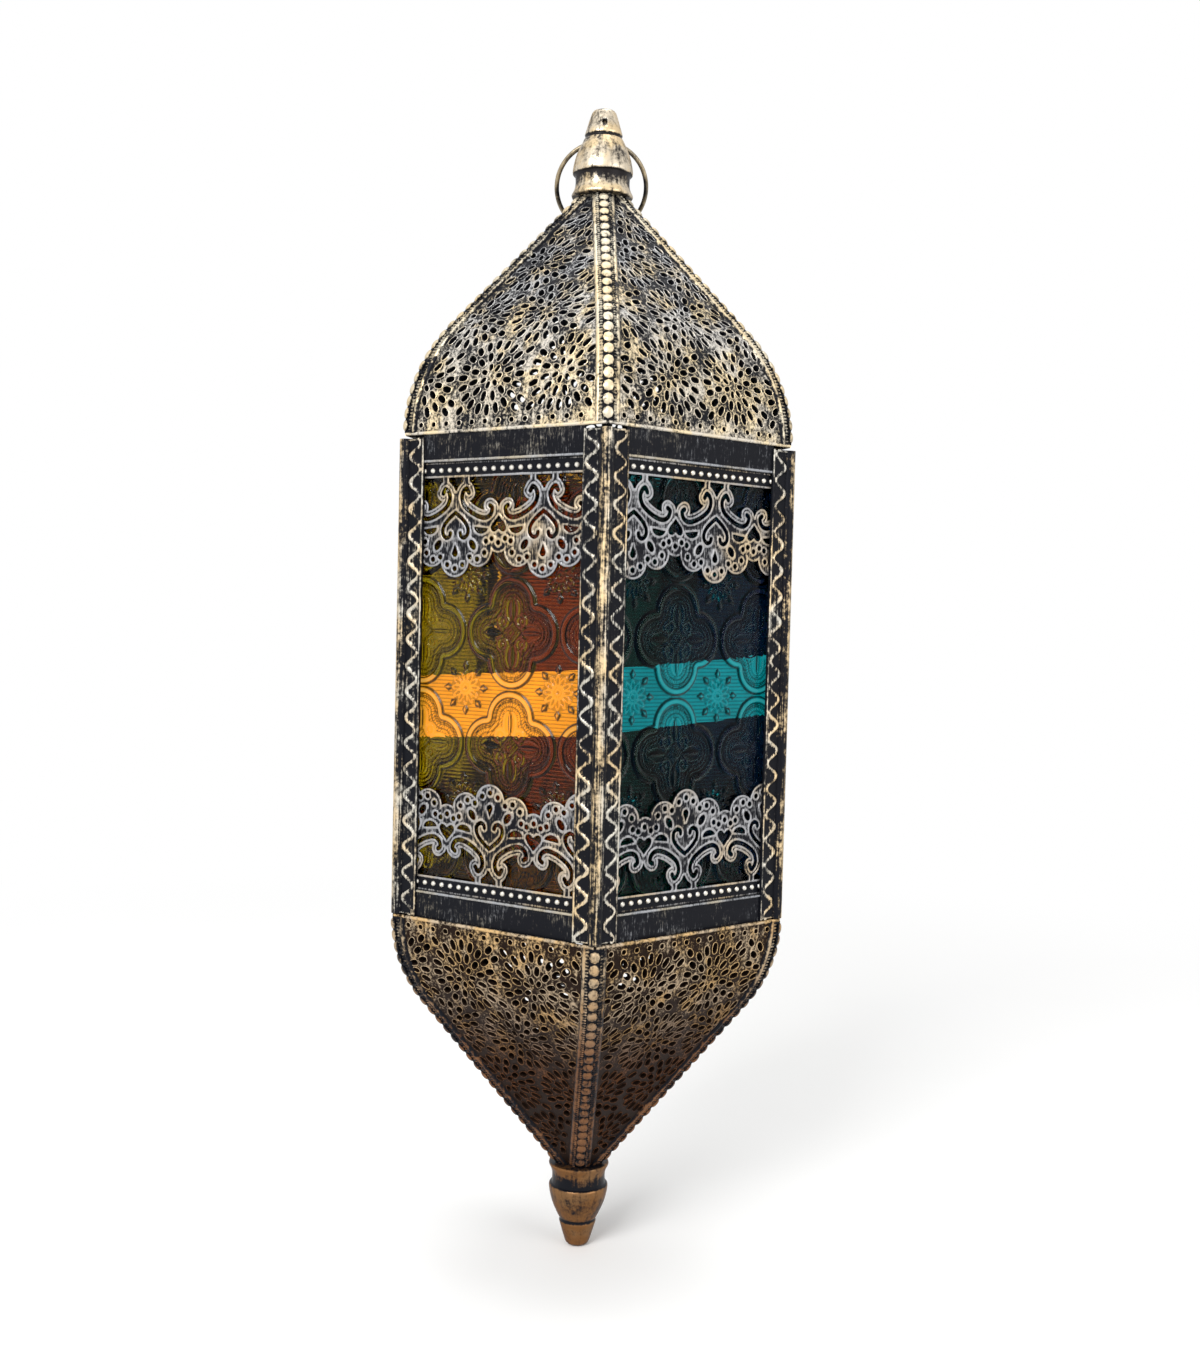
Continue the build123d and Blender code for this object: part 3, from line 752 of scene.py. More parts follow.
    def panel(self, slide: float) -> Surface:
        """A panel on the first face: top web, rims, hole walls, under web and edge walls.

        Each hole has seven rings of points, from the rim's foot over its rounded crest, down the hole's wall and back
        up the collar that the punch leaves under the sheet.
        """
        holes = self.holes(slide)
        border = self.border()
        parts = []
        top_flat, top = self.web(self.loops(holes, self.rim), border)
        share = top_flat[:, 1] / self.curve.length
        web = self.curve.points(top_flat[:, 0], top_flat[:, 1], 0.0)
        parts.append(Surface(web, [top], -self.worn(share), self.golden(share)))
        low_flat, low = self.web(self.loops(holes, self.collar), border)
        zeros = np.zeros(len(low_flat))
        under = self.curve.points(low_flat[:, 0], low_flat[:, 1], -self.sheet)
        # The under web, the hole walls and the collars take the darkest relief: the unbrushed inside of the sheet,
        # which also paints the shade inside the holes.
        parts.append(Surface(under, [low[:, ::-1]], zeros + self.inside_shade_relief))
        dark, deep = self.inside_shade_relief, -self.sheet - self.burr
        rings = ((self.rim, 0.0, 0.0), (0.25, 0.26, 0.6), (0.11, 0.32, 1.0), (0.0, 0.16, 0.2), (0.0, deep, dark),
                 (0.8 * self.collar, deep, dark), (self.collar, -self.sheet, dark))
        flat = np.stack([self.loops(holes, grow) for grow, _, _ in rings], axis=1)
        lift = np.array([height for _, height, _ in rings])
        relief = np.array([value for _, _, value in rings])
        shape = flat.shape[:3]
        lifted = np.broadcast_to(lift[None, :, None], shape)
        points = self.curve.points(flat[..., 0].ravel(), flat[..., 1].ravel(), lifted.ravel())
        quads = lattice(len(rings), self.hole_sides, wrap=True)
        offsets = np.arange(len(holes)) * len(rings) * self.hole_sides
        quads = (quads[None] + offsets[:, None, None]).reshape(-1, 4)
        share = flat[..., 1] / self.curve.length
        worn = relief[None, :, None] - self.worn(share)
        parts.append(Surface(points, [quads], worn.ravel(), self.golden(share).ravel()))
        ends = np.concatenate([border, border])
        lift = np.repeat([0.0, -self.sheet], len(border))
        wall = Surface(self.curve.points(ends[:, 0], ends[:, 1], lift), [lattice(2, len(border), True)[:, ::-1]],
                       np.zeros(len(ends)))
        parts.append(wall)
        parts.append(self.hem())
        surface = Surface.joined(parts)
        return surface if self.curve.sign > 0 else surface.flipped()

    def hem(self) -> Surface:
        """Rolled edge along the foot: a round bar with a circle for its section."""
        half = float(self.curve.half_width(np.array(0.0))) - self.seam
        along = np.linspace(-half, half, 60)[:, None]
        t = np.linspace(0.0, 2 * math.pi, 12, endpoint=False)[None, :]
        length = self.hem_radius * np.sin(t) - self.hem_drop + 0.0 * along
        lift = self.hem_radius * np.cos(t) + 0.0 * along
        squeeze = along * (self.curve.half_width(length) - self.seam) / half
        points = self.curve.points(squeeze.ravel(), length.ravel(), lift.ravel())
        relief = np.broadcast_to(0.1 + 0.5 * np.cos(t), lift.shape).ravel().copy()
        ends = [np.arange(12)[None, :], 59 * 12 + np.arange(12)[None, ::-1]]
        return Surface(points, [lattice(60, 12, wrap=True)[:, ::-1], *ends], relief, np.full(len(relief), 0.4))

    def build(self) -> None:
        """Makes the five panels."""
        material = self.finish.material()
        for face in Face:
            name = f"{self.part}_panel_{face.label}"
            surface = self.panel(self.slides[face]).turned(face.index * STEP)
            piece(f"pierced_{name}", surface, material, BODY, [name])


@dataclass
class BeadedRibs:
    """Strips folded over the roof's or bowl's seams: a row of round beads between fine tick rows and plain borders."""

    part: str
    curve: PanelCurve
    finish: AgedMetal
    slot: str
    half: float = 5.9
    ground: float = 0.45
    border_height: float = 1.0
    tick_pitch: float = 1.35
    tick_at: float = 3.4
    tick_half: float = 0.95
    tick_height: float = 0.7
    painted_shade_side: float = 0.6
    border_at: float = 5.05
    border_half: float = 0.85
    bead_radius: float = 2.25
    bead_height: float = 1.0
    bead_stretch: float = 1.12
    bead_pitch: float = 5.15
    row_spacing: float = 0.45

    def section(self) -> np.ndarray:
        """Distances from the fold across one side of the strip, closer where the ticks and the border are."""
        tick = self.tick_at + self.tick_half * np.linspace(-1.0, 1.0, 6)
        border = self.border_at + self.border_half * np.linspace(-0.98, 0.98, 8)
        return np.concatenate([[0.0, 1.2], tick, border, [self.half]])

    def strip(self) -> Surface:
        """The folded strip at the first corner, as one closed tube.

        Height over the sheet is a plain ground, plus ticks that rise as a cosine along the strip, plus a half-round
        border near each edge. Each side is measured from the mitre where the two lifted sheets meet.
        """
        across = self.section()
        length = np.arange(0.0, self.curve.length, self.row_spacing)[:, None]
        tick = 0.5 + 0.5 * np.cos(2 * math.pi * length / self.tick_pitch)
        ticks = ridge(across[None] - self.tick_at, self.tick_half) * tick
        border = ridge(across[None] - self.border_at, self.border_half) + 0.0 * length
        lift = self.ground + self.tick_height * ticks + (self.border_height - self.ground) * border
        lift = lift * (across[None] < self.half - 0.01)
        relief = np.clip(1.2 * ticks + border, 0.0, 1.0)
        wide = np.broadcast_to(across[None], lift.shape)
        base = np.broadcast_to(length, lift.shape)
        mitre = self.curve.reach(base, lift) * TAN_HALF
        second = self.curve.points((wide - mitre).ravel(), base.ravel(), lift.ravel())
        first = self.curve.points((mitre - wide).ravel(), base.ravel(), lift.ravel()) @ turn_matrix(-STEP)
        shape = (*lift.shape, 3)
        first, second = first.reshape(shape)[:, :0:-1], second.reshape(shape)
        under = self.curve.points(-self.curve.half_width(length[:, 0]), length[:, 0], -0.05)[:, None, :]
        loop = np.concatenate([first, second, under], axis=1)
        # Painted shade: the side after the fold keeps only part of its relief, so it shows darker as if turned from the
        # light.
        shade = np.concatenate([relief[:, :0:-1], self.painted_shade_side * relief, np.zeros((len(relief), 1))], axis=1)
        warm = np.clip(np.concatenate([border[:, :0:-1], border, np.zeros((len(border), 1))], axis=1) * 0.35, 0, 1)
        rows, columns = loop.shape[:2]
        ends = [np.arange(columns)[None, ::-1], (rows - 1) * columns + np.arange(columns)[None, :]]
        return Surface(loop.reshape(-1, 3), [lattice(rows, columns, wrap=True), *ends], shade.ravel(), warm.ravel())

    def beads(self) -> Surface:
        """Beads along the fold: low domes of eight segments that stand on the corner line."""
        length = np.arange(3.2, self.curve.length - 3.0, self.bead_pitch)
        turn = self.curve.turn(length)
        corner = math.radians(FIRST_CORNER_ANGLE)
        radial = np.array([math.cos(corner), math.sin(corner), 0.0])
        level = np.array([-math.sin(corner), math.cos(corner), 0.0])
        upright = np.array([0.0, 0.0, self.curve.sign])
        normal = np.cos(turn)[:, None] * radial + (np.sin(turn) / COS_HALF)[:, None] * upright
        normal /= np.linalg.norm(normal, axis=1, keepdims=True)
        side = np.broadcast_to(level, normal.shape)
        rise = np.cross(normal, side)
        place = radial * (self.curve.reach(length) / COS_HALF)[:, None]
        place = place + np.array([0.0, 0.0, 1.0]) * self.curve.height(length)[:, None]
        tilt = np.radians([-12.0, 22.0, 50.0, 74.0])
        spin = np.arange(8) * 2 * math.pi / 8
        ring = np.cos(tilt)[:, None] * np.cos(spin), np.cos(tilt)[:, None] * np.sin(spin), np.sin(tilt)[:, None]
        dome = [np.broadcast_to(r, (4, 8)).reshape(1, -1, 1) for r in ring]
        centre = place[:, None] + 0.25 * normal[:, None]
        spread = self.bead_radius * (dome[0] * side[:, None] + self.bead_stretch * dome[1] * rise[:, None])
        points = centre + spread + self.bead_height * dome[2] * normal[:, None]
        quads = lattice(4, 8, wrap=True)
        offsets = np.arange(len(length))[:, None, None] * 32
        ends = np.stack([np.arange(7, -1, -1), np.arange(24, 32)])
        faces = [(quads[None] + offsets).reshape(-1, 4), (ends[None] + offsets).reshape(-1, 8)]
        relief = np.tile(np.repeat([0.1, 0.75, 1.0, 1.0], 8), len(length))
        return Surface(points.reshape(-1, 3), faces, relief, np.full(len(relief), 0.3))

    def build(self) -> None:
        """Makes the five ribs."""
        material = self.finish.material()
        strip = self.strip()
        surface = Surface.joined([strip if self.curve.sign > 0 else strip.flipped(), self.beads()])
        for corner in Corner:
            name = f"{self.part}_rib_{corner.label}"
            piece(f"beaded_{name}", surface.turned(corner.value * STEP), material, BODY, [name])


@dataclass
class CornerPosts:
    """Posts folded along the body's corners, with a half-round bead on the fold and a wavy raised line each side."""

    finish: AgedMetal
    slot: str = "post_strip"
    top: float = -131.4
    bottom: float = -329.4
    apothem: float = 69.1
    sheet: float = 0.8
    flange: float = 10.9
    door_flange: float = 8.5
    bead_radius: float = 2.7
    bead_proud: float = 1.6
    wave_period: float = 10.8
    wave_start: float = 2.0
    wave_swing: float = 2.6
    wave_half: float = 0.78
    wave_height: float = 0.6
    end_line: float = 0.6
    edge_half: float = 0.42
    row_spacing: float = 0.6
    column_spacing: float = 0.34

    def flange_side(self, width: float, height: np.ndarray) -> tuple[np.ndarray, np.ndarray, np.ndarray]:
        """Distances from the fold, lifts and relief of one flange.

        The wavy line's middle is a sine of the height, and its distance is measured square to the sine.

        Args:
            width: Width of the flange.
            height: Levels of the rows, as a column.

        Returns:
            The distances, the lifts and the relief, a row for each level.
        """
        start = 3.15
        count = int(round((width - start) / self.column_spacing)) + 1
        across = np.linspace(start, width, count)[None, :]
        phase = 2 * math.pi * (self.top - height - self.wave_start) / self.wave_period
        swing = min(self.wave_swing, (width - start) / 2 - 0.9)
        middle = (start + width) / 2 - 0.15 + swing * np.cos(phase)
        slope = swing * np.sin(phase) * 2 * math.pi / self.wave_period
        gap = np.abs(across - middle) / np.sqrt(1.0 + slope**2)
        line = ridge(gap, self.wave_half * (1.0 - 0.22 * np.cos(phase)))
        ends = np.minimum(self.top - height, height - self.bottom) - self.end_line
        line = np.maximum(line, ridge(ends, self.end_line) * (across < width - 0.8))
        edge = ridge(across - (width - self.edge_half), self.edge_half * 1.05)
        lift = self.wave_height * line + 0.3 * edge
        relief = np.clip(1.05 * line + 0.8 * edge, 0.0, 1.0)
        return np.broadcast_to(across, lift.shape), lift, relief

    def surface(self, before: float, after: float) -> Surface:
        """The post at the first corner, as a closed tube.

        Args:
            before: Width of the flange on the face before the corner.
            after: Width of the flange on the face after it.

        Returns:
            The post's surface.
        """
        rows = int(round((self.top - self.bottom) / self.row_spacing)) + 1
        height = np.linspace(self.bottom, self.top, rows)[:, None]
        angle = math.radians(FIRST_CORNER_ANGLE)
        fold = self.apothem / COS_HALF
        parts, shades, warms = [], [], []
        for width, side in ((before, -1.0), (after, 1.0)):
            face = FIRST_CORNER_ANGLE + side * STEP / 2
            across, lift, relief = self.flange_side(width, height)
            along = side * (across - (self.apothem + lift) * TAN_HALF)
            block = on_face(face, along, self.apothem + lift, height).reshape(*lift.shape, 3)
            parts.append(block[:, ::-1] if side < 0 else block)
            shades.append(relief[:, ::-1] if side < 0 else relief)
            warms.append(np.zeros_like(relief))
        spread = np.linspace(-112.0, 112.0, 17)
        turn = np.radians(spread)[None, :]
        centre = fold + self.bead_proud - self.bead_radius
        out = centre + self.bead_radius * np.cos(turn) + 0.0 * height
        level = self.bead_radius * np.sin(turn) + 0.0 * height
        bead = np.stack([
            out * math.cos(angle) - level * math.sin(angle),
            out * math.sin(angle) + level * math.cos(angle),
            height + 0.0 * turn,
        ], axis=2)
        inside = []
        for width, side in ((after, 1.0), (before, -1.0)):
            face = FIRST_CORNER_ANGLE + side * STEP / 2
            along = side * (width - self.apothem * TAN_HALF)
            inside.append(on_face(face, along, self.apothem - self.sheet, height).reshape(rows, 1, 3))
        fold_in = (self.apothem - self.sheet) / COS_HALF
        middle = np.concatenate(
            [np.full((rows, 1), fold_in * math.cos(angle)), np.full((rows, 1), fold_in * math.sin(angle)), height],
            axis=1,
        )[:, None, :]
        loop = np.concatenate([parts[0], bead, parts[1], inside[0], middle, inside[1]], axis=1)
        rub = np.broadcast_to(0.15 + 0.6 * np.cos(turn) ** 2, bead.shape[:2])
        none = np.full((rows, 3), -3.0)
        shade = np.concatenate([shades[0], rub, shades[1], none], axis=1)
        gilt = np.broadcast_to(smooth(70.0, -50.0, spread)[None, :], bead.shape[:2])
        warm = np.concatenate([warms[0], gilt, warms[1], none], axis=1)
        columns = loop.shape[1]
        ends = [np.arange(columns)[None, ::-1], (rows - 1) * columns + np.arange(columns)[None, :]]
        return Surface(loop.reshape(-1, 3), [lattice(rows, columns, wrap=True), *ends], shade.ravel(), warm.ravel())

    def build(self) -> None:
        """Makes the five posts, with narrower flanges beside the door."""
        material = self.finish.material()
        plain = self.surface(self.flange, self.flange)
        special = {
            Corner.BACK_RIGHT: self.surface(self.flange, self.door_flange),
            Corner.BACK_LEFT: self.surface(self.door_flange, self.flange),
        }
        for corner in Corner:
            name = f"corner_post_{corner.label}"
            surface = special.get(corner, plain).turned(corner.value * STEP)
            piece(f"embossed_{name}", surface, material, BODY, [name], crease=60.0)


@dataclass
class RailSkins:
    """Brushed skins on the rails above and below the glass, each with a bright rolled edge towards the glass, and
    tucked into the dark gaps by the roof and the bowl as painted shade.
    """

    finish: AgedMetal
    slot: str = "band_sheet"
    top: float = -131.4
    bottom: float = -329.4
    upper_height: float = 10.2
    lower_height: float = 11.0
    half: float = 40.0
    door_half: float = 40.6
    out: float = 68.3
    door_out: float = 69.1
    edge_half: float = 0.6
    edge_height: float = 0.45
    door_inset: float = 1.5
    # The tucks carry each skin past its rail, under the roof's and the bowl's rolled edges, where the dark skin fills
    # the gap as painted shade.
    shade_tuck_upper: float = 1.3
    shade_tuck_lower: float = 0.5

    def strip(self, face: Face, upper: bool) -> Surface:
        """One rail's skin: a plain sheet whose section swells to a half-round edge.

        Args:
            face: Face that it lies on.
            upper: Whether it is the rail above the glass.

        Returns:
            The skin's surface, closed at the back.
        """
        door = face is Face.BACK
        half, out = (self.door_half, self.door_out) if door else (self.half, self.out)
        inset = self.door_inset if door else -self.shade_tuck_upper if upper else -self.shade_tuck_lower
        depth = self.upper_height if upper else self.lower_height
        start = self.top - inset if upper else self.bottom + inset
        into = -1.0 if upper else 1.0
        profile = np.concatenate([np.linspace(0.0, depth - inset - 2 * self.edge_half, 6),
                                  depth - inset - self.edge_half * (1 - np.linspace(-0.9, 1.0, 9))])
        line = ridge(profile - (depth - inset - self.edge_half), self.edge_half)
        lift = 0.12 + self.edge_height * line
        lift[0] = lift[-1] = 0.02
        along = np.linspace(-half, half, 60)
        level = start + into * profile
        angle = FIRST_FACE_ANGLE + face.index * STEP
        grid = on_face(angle, along[:, None], out + lift[None, :], level[None, :]).reshape(60, len(profile), 3)
        rows, columns = grid.shape[:2]
        ends = [np.arange(columns)[None, ::-1], (rows - 1) * columns + np.arange(columns)[None, :]]
        relief = np.broadcast_to(line[None, :], (rows, columns)).ravel().copy()
        skin = Surface(grid.reshape(-1, 3), [lattice(rows, columns, wrap=True), *ends], relief)
        return skin if upper else skin.flipped()

    def build(self) -> None:
        """Makes the two skins of every face."""
        material = self.finish.material()
        for face in Face:
            for upper in (True, False):
                name = f"rail_skin_{'upper' if upper else 'lower'}_{face.label}"
                piece(name, self.strip(face, upper), material, face.body, [])


def segment_distance(x: np.ndarray, y: np.ndarray, path: np.ndarray) -> np.ndarray:
    """Distance to a path of straight runs: the least distance to any of its segments."""
    best = np.full(x.shape, np.inf)
    for (ax, ay), (bx, by) in zip(path[:-1], path[1:]):
        dx, dy = bx - ax, by - ay
        t = np.clip(((x - ax) * dx + (y - ay) * dy) / (dx * dx + dy * dy), 0.0, 1.0)
        best = np.minimum(best, np.hypot(x - ax - t * dx, y - ay - t * dy))
    return best


def polygon_distance(x: np.ndarray, y: np.ndarray, corners: np.ndarray) -> np.ndarray:
    """Signed distance to a polygon, negative inside, by the even-odd crossing rule."""
    ring = np.concatenate([corners, corners[:1]])
    inside = np.zeros(x.shape, dtype=bool)
    for (ax, ay), (bx, by) in zip(ring[:-1], ring[1:]):
        crosses = (ay > y) != (by > y)
        cut = ax + (y - ay) * (bx - ax) / np.where(by == ay, 1e-9, by - ay)
        inside ^= crosses & (x < cut)
    return segment_distance(x, y, ring) * np.where(inside, -1.0, 1.0)


def rounded(path: list[tuple[float, float]], steps: int = 6) -> np.ndarray:
    """Smooth path through points, as a Catmull-Rom spline with its ends repeated."""
    knots = np.array(path, dtype=float)
    padded = np.concatenate([2 * knots[:1] - knots[1:2], knots, 2 * knots[-1:] - knots[-2:-1]])
    t = np.linspace(0.0, 1.0, steps, endpoint=False)[None, :, None]
    p0, p1, p2, p3 = (padded[i:len(padded) - 3 + i, None, :] for i in range(4))
    curve = 0.5 * (2 * p1 + (p2 - p0) * t + (2 * p0 - 5 * p1 + 4 * p2 - p3) * t**2
                   + (3 * p1 - p0 - 3 * p2 + p3) * t**3)
    return np.concatenate([curve.reshape(-1, 2), knots[-1:]])


# Polygons of a cell that a contour crosses, by which of its four corners lie in the sheet. Numbers 0 to 3 are the
# corners, anticlockwise, and 4 to 7 the crossings on the sides that follow them.
CELL_CASES = {
    1: [(0, 4, 7)], 2: [(1, 5, 4)], 3: [(0, 1, 5, 7)], 4: [(2, 6, 5)], 5: [(0, 4, 7), (2, 6, 5)],
    6: [(1, 2, 6, 4)], 7: [(0, 1, 2, 6, 7)], 8: [(3, 7, 6)], 9: [(0, 4, 6, 3)], 10: [(1, 5, 4), (3, 7, 6)],
    11: [(0, 1, 5, 6, 3)], 12: [(3, 7, 5, 2)], 13: [(0, 4, 5, 2, 3)], 14: [(1, 2, 3, 7, 4)], 15: [(0, 1, 2, 3)],
}


def contour_sheet(x: np.ndarray, y: np.ndarray, depth: np.ndarray) -> tuple[np.ndarray, list[np.ndarray], np.ndarray]:
    """Cuts a sheet out of a grid where a field is positive, with its edge on the field's zero line.

    Args:
        x: Columns of the grid.
        y: Rows of the grid.
        depth: Distance in from the sheet's edge at each grid point, negative outside.

    Returns:
        The points in two columns, the polygons by size, and the directed edges of the sheet's outline.
    """
    rows, columns = depth.shape
    grid_x, grid_y = np.meshgrid(x, y)
    node = np.arange(rows * columns).reshape(rows, columns)
    level_share = depth[:, :-1] / np.where(depth[:, :-1] == depth[:, 1:], 1.0, depth[:, :-1] - depth[:, 1:])
    level = np.stack([grid_x[:, :-1] + np.clip(level_share, 0.02, 0.98) * (grid_x[:, 1:] - grid_x[:, :-1]),
                      grid_y[:, :-1]], axis=-1)
    up_share = depth[:-1] / np.where(depth[:-1] == depth[1:], 1.0, depth[:-1] - depth[1:])
    upright = np.stack([grid_x[:-1], grid_y[:-1] + np.clip(up_share, 0.02, 0.98) * (grid_y[1:] - grid_y[:-1])], axis=-1)
    places = np.concatenate([np.stack([grid_x, grid_y], axis=-1).reshape(-1, 2), level.reshape(-1, 2),
                             upright.reshape(-1, 2)])
    level_id = rows * columns + np.arange(level.shape[0] * level.shape[1]).reshape(level.shape[:2])
    up_id = rows * columns + level_id.size + np.arange(upright.shape[0] * upright.shape[1]).reshape(upright.shape[:2])
    cell = np.stack([node[:-1, :-1], node[:-1, 1:], node[1:, 1:], node[1:, :-1],
                     level_id[:-1], up_id[:, 1:], level_id[1:], up_id[:, :-1]], axis=-1).reshape(-1, 8)
    inside = depth > 0
    code = (inside[:-1, :-1] + 2 * inside[:-1, 1:] + 4 * inside[1:, 1:] + 8 * inside[1:, :-1]).ravel()
    by_size: dict[int, list[np.ndarray]] = {}
    outline = []
    for case, shapes in CELL_CASES.items():
        chosen = cell[code == case]
        for shape in shapes:
            by_size.setdefault(len(shape), []).append(chosen[:, list(shape)])
            for first, second in zip(shape, shape[1:] + shape[:1]):
                if first > 3 and second > 3:
                    outline.append(chosen[:, [first, second]])
    polygons = [np.concatenate(group) for group in by_size.values()]
    used, flat = np.unique(np.concatenate([p.ravel() for p in polygons]), return_inverse=True)
    sizes = np.cumsum([0] + [p.size for p in polygons])
    polygons = [flat[a:b].reshape(p.shape) for a, b, p in zip(sizes[:-1], sizes[1:], polygons)]
    return places[used], polygons, np.searchsorted(used, np.concatenate(outline))


@dataclass
class LaceStrips:
    """Stamped strips over the panes: a beaded border with scalloped fans of scrolls, hearts and small holes.

    The motif is drawn in half, from the middle of a fan to the middle of a link, with depths counted from the lower
    edge of the beaded border. Every cut-out and edge has a raised bright line round it.
    """

    finish: AgedMetal
    slot: str = "lace_strip"
    upper_edge: float = -141.6
    lower_edge: float = -318.4
    border: float = 6.3
    tuck: float = 3.0
    period: float = 43.7
    half: float = 44.4
    door_half: float = 39.8
    out: float = 67.5
    sheet: float = 0.8
    cell: float = 0.46
    line_at: float = 0.42
    line_half: float = 0.5
    line_height: float = 0.38
    bead_radius: float = 1.15
    bead_pitch: float = 4.45
    upper_phase: dict[Face, float] = field(default_factory=lambda: {
        Face.FRONT_LEFT: 20.4, Face.FRONT_RIGHT: 8.9, Face.RIGHT: 5.0, Face.LEFT: -6.0, Face.BACK: 0.0})
    lower_phase: dict[Face, float] = field(default_factory=lambda: {
        Face.FRONT_LEFT: -2.8, Face.FRONT_RIGHT: -3.3, Face.RIGHT: -8.0, Face.LEFT: 10.0, Face.BACK: 0.0})

    def sheet_field(self, a: np.ndarray, v: np.ndarray) -> np.ndarray:
        """Signed distance of the uncut fan, negative inside: scroll bands, body and scallops joined to the border."""
        scroll = segment_distance(a, v, self.scroll())
        body = polygon_distance(a, v, np.array([
            (-1.0, 5.2), (2.6, 6.0), (3.4, 10.0), (6.2, 13.2), (11.0, 16.2), (15.4, 17.2), (18.4, 15.0), (21.0, 12.6),
            (23.0, 11.6), (23.0, 27.0), (16.5, 29.6), (9.5, 31.5), (-1.0, 36.0),
        ]))
        scallops = [(0.0, 33.2, 7.3), (12.0, 29.4, 6.9), (21.85, 25.2, 5.5)]
        shape = np.minimum(scroll - 3.15, body)
        for u, depth, radius in scallops:
            shape = np.minimum(shape, np.hypot(a - u, v - depth) - radius)
        neck = np.maximum(np.abs(a - 5.3) - 1.5, np.maximum(v - 3.6, -1.0 - v))
        return np.minimum(np.minimum(shape, neck), v)

    @staticmethod
    def scroll() -> np.ndarray:
        """Middle line of a scroll's slot, from the curl under the border to the curl beside the link."""
        return rounded([(6.6, 6.4), (5.4, 4.7), (3.7, 6.0), (3.1, 8.4), (4.2, 11.3), (6.9, 13.6), (10.9, 15.7),
                        (15.0, 16.6), (17.7, 15.4), (18.6, 12.9), (17.4, 11.8)])

    def cut_field(self, a: np.ndarray, v: np.ndarray) -> np.ndarray:
        """Signed distance of the cut-outs, negative inside."""
        cuts = segment_distance(a, v, self.scroll()) - 0.95
        heart = rounded([(0.0, 14.4), (2.2, 15.9), (4.9, 18.3), (6.4, 20.7), (6.3, 23.1), (4.6, 24.5), (2.9, 23.9),
                         (2.5, 22.6)])
        cuts = np.minimum(cuts, segment_distance(a, v, heart) - 0.85)
        drop = polygon_distance(a, v, np.array([(-1.3, 30.3), (0.0, 27.0), (1.3, 30.3), (0.9, 31.6), (-0.9, 31.6)]))
        cuts = np.minimum(cuts, np.minimum(drop, np.hypot(a, v - 30.8) - 1.45))
        c, s = math.cos(math.radians(52.0)), math.sin(math.radians(52.0))
        x, y = (a - 8.9) * c + (v - 27.4) * s, -(a - 8.9) * s + (v - 27.4) * c
        cuts = np.minimum(cuts, (np.hypot(x / 2.35, y / 1.5) - 1.0) * 1.5)
        bow = (np.hypot((a - 13.2) / 3.5, (v - 20.3) / 2.7) - 1.0) * 2.7
        cuts = np.minimum(cuts, np.maximum(bow, 20.5 - v + 0.12 * (a - 13.2)))
        spade = polygon_distance(a, v, np.array([
            (21.85, 15.6), (20.6, 17.1), (18.9, 18.8), (18.0, 20.3), (18.2, 21.6), (19.2, 22.3), (20.5, 22.1),
            (21.85, 21.0), (23.2, 22.1), (24.5, 22.3), (25.5, 21.6), (25.7, 20.3), (24.8, 18.8), (23.1, 17.1),
        ]))
        cuts = np.minimum(cuts, spade)
        for u, depth in ((0.0, 37.0), (3.9, 35.4), (7.6, 32.3), (11.4, 33.2), (15.0, 30.6), (15.7, 26.0), (18.5, 25.0),
                         (21.85, 26.6)):
            cuts = np.minimum(cuts, np.hypot(a - u, v - depth) - 1.1)
        return cuts

    def surface(self, half: float, phase: float, edge: float, into: float, angle: float) -> Surface:
        """One strip: its cut sheet with raised lines, its edge walls, its back and its beads.

        Args:
            half: Half the strip's width.
            phase: Place of a fan's middle along the face.
            edge: Level of the rail's edge.
            into: -1 where the fans hang down, 1 where they stand up.
            angle: Direction of the face.

        Returns:
            The strip's surface.
        """
        x = np.arange(-half - 1.0, half + 1.0, self.cell)
        v = np.arange(-self.border - self.tuck - 1.0, 42.0, self.cell)
        along, depth = np.meshgrid(x, v)
        fold = np.abs((along - phase + self.period / 2) % self.period - self.period / 2)
        solid = self.sheet_field(fold, depth)
        field_in = -np.maximum(solid, -self.cut_field(fold, depth))
        frame_in = np.minimum(half - np.abs(along), depth + self.border + self.tuck)
        inner = np.minimum(field_in, frame_in)
        flat, polygons, outline = contour_sheet(x, v, inner)
        fold = np.abs((flat[:, 0] - phase + self.period / 2) % self.period - self.period / 2)
        rim = np.maximum(-np.maximum(self.sheet_field(fold, flat[:, 1]), -self.cut_field(fold, flat[:, 1])), 0.0)
        line = ridge(rim - self.line_at, self.line_half)
        line = np.maximum(line, ridge(flat[:, 1] + self.border - 0.5, 0.5) * 0.3)
        lift = self.line_height * line
        level = edge + into * (flat[:, 1] + self.border)
        count = len(flat)
        top = on_face(angle, flat[:, 0], self.out + lift - 0.1, level)
        back = on_face(angle, flat[:, 0], np.full(count, self.out - self.sheet), level)
        faces = [p if into > 0 else p[:, ::-1] for p in polygons]
        wall = np.stack([outline[:, 1], outline[:, 0], outline[:, 0] + count, outline[:, 1] + count], axis=1)
        faces += [p[:, ::-1] + count for p in faces]
        faces.append(wall if into > 0 else wall[:, ::-1])
        strip = 0.75 * smooth(0.4, -0.4, flat[:, 1]) * (line < 0.2)
        relief = np.concatenate([line - strip, np.full(count, -3.0)])
        sheet = Surface(np.concatenate([top, back]), faces, relief)
        return Surface.joined([sheet, self.beads(half, edge + into * self.border * 0.52, angle)])

